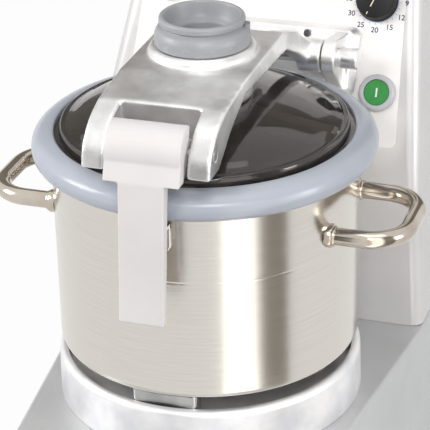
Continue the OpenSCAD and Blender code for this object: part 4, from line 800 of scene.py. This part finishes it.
# Latch lever: moulded in warm grey plastic, with a rounded head on the pin and a long flat blade to pull.
# A folded steel hook on its back closes in front of the bowl's catch.
lever_plastic = finish("warm grey plastic", (0.64, 0.61, 0.60), (0.69, 0.66, 0.65), (0.42, 0.52), patch=12.0,
                       grain=1700.0, depth=0.000025)
cast("latch_lever", lever_plastic, skin_size=0.0009, rounds=5)
eased("latch_hook", pin_steel, edge=0.0003, segments=2)

# Feed funnel: moulded in mid-grey plastic, with a rolled rim, a groove under it and a skirt that covers the
# arm's raised ring. A small tab marks how it turns, and shallow pads stand on the skirt.
funnel_plastic = finish("funnel plastic", (0.29, 0.295, 0.31), (0.33, 0.335, 0.35), (0.34, 0.44), patch=16.0,
                        grain=1500.0, depth=0.00002)
low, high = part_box("feed_funnel")
skirt_r, skirt_wall, skirt_edge, skirt_roof, rim_r, rim_top = 0.043, 0.003, 0.0008, 0.008, 0.0385, 0.0255
bore_r, tube_r, mouth_r, neck_edge, rim_edge = 0.026, 0.030, 0.0352, 0.0016, 0.0028
skirt_z = high.z - rim_top
tube_low = low.z - skirt_z
funnel_place = Matrix.Translation((0.0, bowl_axis_y, skirt_z))
funnel_outside = curve([
    (skirt_r, 0.0030), (skirt_r - 0.0004, 0.0090), (skirt_r - 0.0026, 0.0140), (rim_r - 0.0012, 0.0164),
    (rim_r - 0.0022, 0.0176),
], 5)
funnel_mouth = curve([
    (0.0342, 0.0250), (0.0336, 0.0236), (0.0322, 0.0180), (0.0300, 0.0120), (0.0268, 0.0085),
    (bore_r, 0.0070),
], 4)
funnel = turned("feed_funnel_body", (
    [(bore_r, tube_low), (tube_r, tube_low), (tube_r, skirt_roof)]
    + [(skirt_r - skirt_wall, skirt_roof), (skirt_r - skirt_wall, 0.0)]
    + corner(skirt_r - skirt_edge, skirt_edge, skirt_edge, -90, 0, 3) + funnel_outside
    + corner(rim_r - neck_edge, 0.0201, neck_edge, -80, 0, 4) + [(rim_r, 0.0222)]
    + corner(rim_r - rim_edge, rim_top - rim_edge, rim_edge, 10, 90, 6) + [(mouth_r, rim_top)]
    + funnel_mouth
), 160, closed=True)
funnel.data.transform(funnel_place)
forms = [funnel.data]
bpy.data.objects.remove(funnel)

pad_wide, pad_narrow, pad_high, pad_deep = 0.00405, 0.00315, 0.0021, 0.0016
pad_out, pad_z, pad_tilt = 0.0002, 0.0052, math.radians(92)
pad_places = [(turn, pad_wide) for turn in (-152, -118, -63, 28, 118)]
pad_places += [(turn, pad_narrow) for turn in (-92, -34, 62, 152)]
for turn, wide in pad_places:
    pad = turned("pad", [(0.0, 0.0), (0.8, 0.0), (1.0, -0.25), (1.0, -1.0), (0.0, -1.0)], 24)
    pad.data.transform(
        funnel_place @ Matrix.Rotation(math.radians(turn), 4, "Z")
        @ Matrix.Translation((skirt_r + pad_out, 0.0, pad_z)) @ Matrix.Rotation(pad_tilt, 4, "Y")
        @ Matrix.Diagonal((pad_high, wide, pad_deep, 1.0))
    )
    forms.append(pad.data)
    bpy.data.objects.remove(pad)

tab_turn, tab_r, tab_z = math.radians(12), 0.0392, 0.0108
tab_thick, tab_wide, tab_high = 0.0034, 0.0052, 0.0072
tab = turned("tab", [(0.0, 0.0), (0.9, 0.0), (1.0, 0.12), (1.0, 1.0), (0.0, 1.0)], 24)
tab.data.transform(
    funnel_place @ Matrix.Rotation(tab_turn, 4, "Z") @ Matrix.Translation((tab_r, 0.0, tab_z))
    @ Matrix.Diagonal((tab_thick, tab_wide, tab_high, 1.0))
)
forms.append(tab.data)
bpy.data.objects.remove(tab)
body = joined("feed_funnel_form", forms)
fitted(body, ["feed_funnel"], funnel_plastic)
body.data.set_sharp_from_angle(angle=math.radians(36))

# Wiper: a moulded bar under the window turns with the funnel, and a soft scraper on its end wipes the
# window's shoulder.
wiper_plastic = finish("wiper plastic", (0.46, 0.43, 0.40), (0.54, 0.51, 0.48), (0.36, 0.48), patch=20.0)
scraper_rubber = finish("scraper silicone", (0.62, 0.62, 0.63), (0.70, 0.70, 0.71), (0.38, 0.50), patch=40.0)
eased("wiper_arm", wiper_plastic, edge=0.0012)
eased("wiper_scraper", scraper_rubber, edge=0.0008)

# Variable-speed drive: a green board on brass posts behind the column's front, with a finned aluminium
# heat sink and four blue capacitors.
board_green = finish("board lacquer", (0.012, 0.090, 0.035), (0.022, 0.14, 0.055), (0.25, 0.40), patch=160.0,
                     grain=500.0, depth=0.00003)
standoff_brass = finish("brass", (0.50, 0.36, 0.14), (0.62, 0.46, 0.20), (0.20, 0.32),
                        metallic=1.0, patch=80.0)
sink_aluminium = finish("extruded aluminium", (0.52, 0.52, 0.53), (0.62, 0.62, 0.63), (0.28, 0.42),
                        metallic=1.0, grain=20.0, depth=0.00001, stretch=(80.0, 1.0, 1.0))
capacitor_blue = finish("capacitor sleeve", (0.018, 0.045, 0.20), (0.028, 0.065, 0.28), (0.25, 0.35),
                        patch=60.0)
kept(board_green, "inverter_board")
kept(standoff_brass, "board_standoffs")
eased("heat_sink", sink_aluminium, edge=0.0003, segments=2, clamp=False)
kept(capacitor_blue, "capacitors")

# Cable gland: moulded in black nylon, with a six-sided body and a round nut, and screwed into the base's
# back wall.
gland_plastic = finish("gland nylon", (0.016, 0.016, 0.017), (0.026, 0.026, 0.028), (0.32, 0.46), patch=80.0)
eased("cable_gland", gland_plastic, edge=0.0006)

# Studio: a pale floor, a white surround and soft lamps, and cards that draw the bands on the bowl. None of
# it is part of the machine. The camera and reflections see the floor as nearly plain white, and the rest of
# what they see of it keeps the machine's shadow.
floor_half, floor_white, plain_light, seen_light = 9.0, 0.97, 0.24, 1.0
warm_tint, card_roughness = (1.0, 0.92, 0.82), 0.9


def any_ray(tree, *kinds):
    """A socket that is one where a ray is of any of these kinds, and zero elsewhere."""
    paths = tree.nodes.new("ShaderNodeLightPath")
    found = paths.outputs[kinds[0]]
    for kind in kinds[1:]:
        either = tree.nodes.new("ShaderNodeMath")
        either.operation = "MAXIMUM"
        tree.links.new(found, either.inputs[0])
        tree.links.new(paths.outputs[kind], either.inputs[1])
        found = either.outputs["Value"]
    return found


floor_mesh = bpy.data.meshes.new("floor")
floor_corners = [(x * floor_half, y * floor_half, 0.0) for x, y in ((-1, -1), (1, -1), (1, 1), (-1, 1))]
floor_mesh.from_pydata(floor_corners, [], [(0, 1, 2, 3)])
floor = bpy.data.objects.new("floor", floor_mesh)
bpy.context.collection.objects.link(floor)
floor_paint = finish("studio floor", (0.50, 0.50, 0.50), (0.52, 0.52, 0.52), (0.6, 0.7),
                     patch=1.0, grain=40.0)
tree = floor_paint.node_tree
share = tree.nodes.new("ShaderNodeMath")
share.operation, share.inputs[1].default_value = "MULTIPLY", floor_white
glow = tree.nodes.new("ShaderNodeEmission")
mix = tree.nodes.new("ShaderNodeMixShader")
tree.links.new(any_ray(tree, "Is Camera Ray", "Is Glossy Ray"), share.inputs[0])
tree.links.new(share.outputs["Value"], mix.inputs["Fac"])
tree.links.new(tree.nodes["Principled BSDF"].outputs["BSDF"], mix.inputs[1])
tree.links.new(glow.outputs["Emission"], mix.inputs[2])
tree.links.new(mix.outputs["Shader"], tree.nodes["Material Output"].inputs["Surface"])
floor_mesh.materials.append(floor_paint)

world = bpy.data.worlds.new("studio")
bpy.context.scene.world = world
world.use_nodes = True
tree = world.node_tree
mix = tree.nodes.new("ShaderNodeMixShader")
surrounds = (tree.nodes["Background"], tree.nodes.new("ShaderNodeBackground"))
for surround, strength, socket in zip(surrounds, (plain_light, seen_light), (mix.inputs[1], mix.inputs[2])):
    surround.inputs["Color"].default_value = (1.0, 1.0, 1.0, 1.0)
    surround.inputs["Strength"].default_value = strength
    tree.links.new(surround.outputs["Background"], socket)
seen = any_ray(tree, "Is Camera Ray", "Is Transmission Ray", "Is Glossy Ray")
tree.links.new(seen, mix.inputs["Fac"])
tree.links.new(mix.outputs["Shader"], tree.nodes["World Output"].inputs["Surface"])


def lamp(name, place, aim, size, power):
    """A soft square lamp that points at aim."""
    place, aim = Vector(place), Vector(aim)
    light = bpy.data.lights.new(name, "AREA")
    light.size, light.energy = size, power
    piece = bpy.data.objects.new(name, light)
    piece.location = place
    piece.rotation_euler = (aim - place).to_track_quat("-Z", "Y").to_euler()
    bpy.context.collection.objects.link(piece)
    return piece


soft_key = lamp("soft_key", (-0.75, -1.55, 1.80), (0.0, 0.0, 0.38), size=0.5, power=14.0)
soft_key.visible_glossy = False
lamp("key", (0.75, -1.75, 1.85), (0.0, 0.0, 0.38), size=0.8, power=19.0)
lamp("left_fill", (-1.9, -0.8, 1.4), (0.0, 0.0, 0.35), size=0.9, power=26.0)
lamp("right_fill", (2.0, -0.5, 0.9), (0.0, 0.0, 0.35), size=0.9, power=19.0)
lamp("top", (0.3, -0.4, 2.7), (0.0, 0.0, 0.4), size=1.4, power=8.0)


def card(name, azimuth_degrees, distance, width, height, centre_z, grey, glow=0.0, tongue=0.34):
    """An upright card round the bowl's axis, which the camera, shadows and soft light don't see. From its
    lower edge a tongue runs in towards the axis, and narrows to half the card's width."""
    mesh = bpy.data.meshes.new(name)
    corners = [(side * width / 2, 0, z) for z in (-height / 2, height / 2) for side in (-1, 1)]
    corners += [(side * width / 4, tongue, -height / 2) for side in (-1, 1)]
    mesh.from_pydata(corners, [], [(0, 1, 3, 2), (0, 1, 5, 4)])
    turn = math.radians(azimuth_degrees)
    spot = Vector((distance * math.sin(turn), bowl_axis_y - distance * math.cos(turn), centre_z))
    mesh.transform(Matrix.Translation(spot) @ Matrix.Rotation(turn, 4, "Z"))
    piece = bpy.data.objects.new(name, mesh)
    bpy.context.collection.objects.link(piece)
    paint = bpy.data.materials.new(name)
    paint.use_nodes = True
    shader = paint.node_tree.nodes["Principled BSDF"]
    shader.inputs["Base Color"].default_value = (*(tint * grey for tint in warm_tint), 1.0)
    shader.inputs["Roughness"].default_value = card_roughness
    shader.inputs["Emission Color"].default_value = (1.0, 1.0, 1.0, 1.0)
    shader.inputs["Emission Strength"].default_value = glow
    mesh.materials.append(paint)
    piece.visible_camera = piece.visible_shadow = piece.visible_diffuse = False


no_tongue = 0.002
card("dark_card_right", 63.5, distance=0.60, width=0.21, height=1.0, centre_z=0.504, grey=0.36)
card("bright_card", 39.0, distance=0.62, width=0.24, height=1.0, centre_z=0.506, grey=0.9, glow=1.55)
card("dark_card_front", -5.5, distance=0.60, width=0.165, height=0.60, centre_z=0.452, grey=0.002,
     tongue=no_tongue)
card("dark_card_back", 198.0, distance=1.0, width=1.7, height=0.9, centre_z=1.05, grey=0.22,
     tongue=no_tongue)

bpy.context.scene.view_settings.view_transform = "Standard"
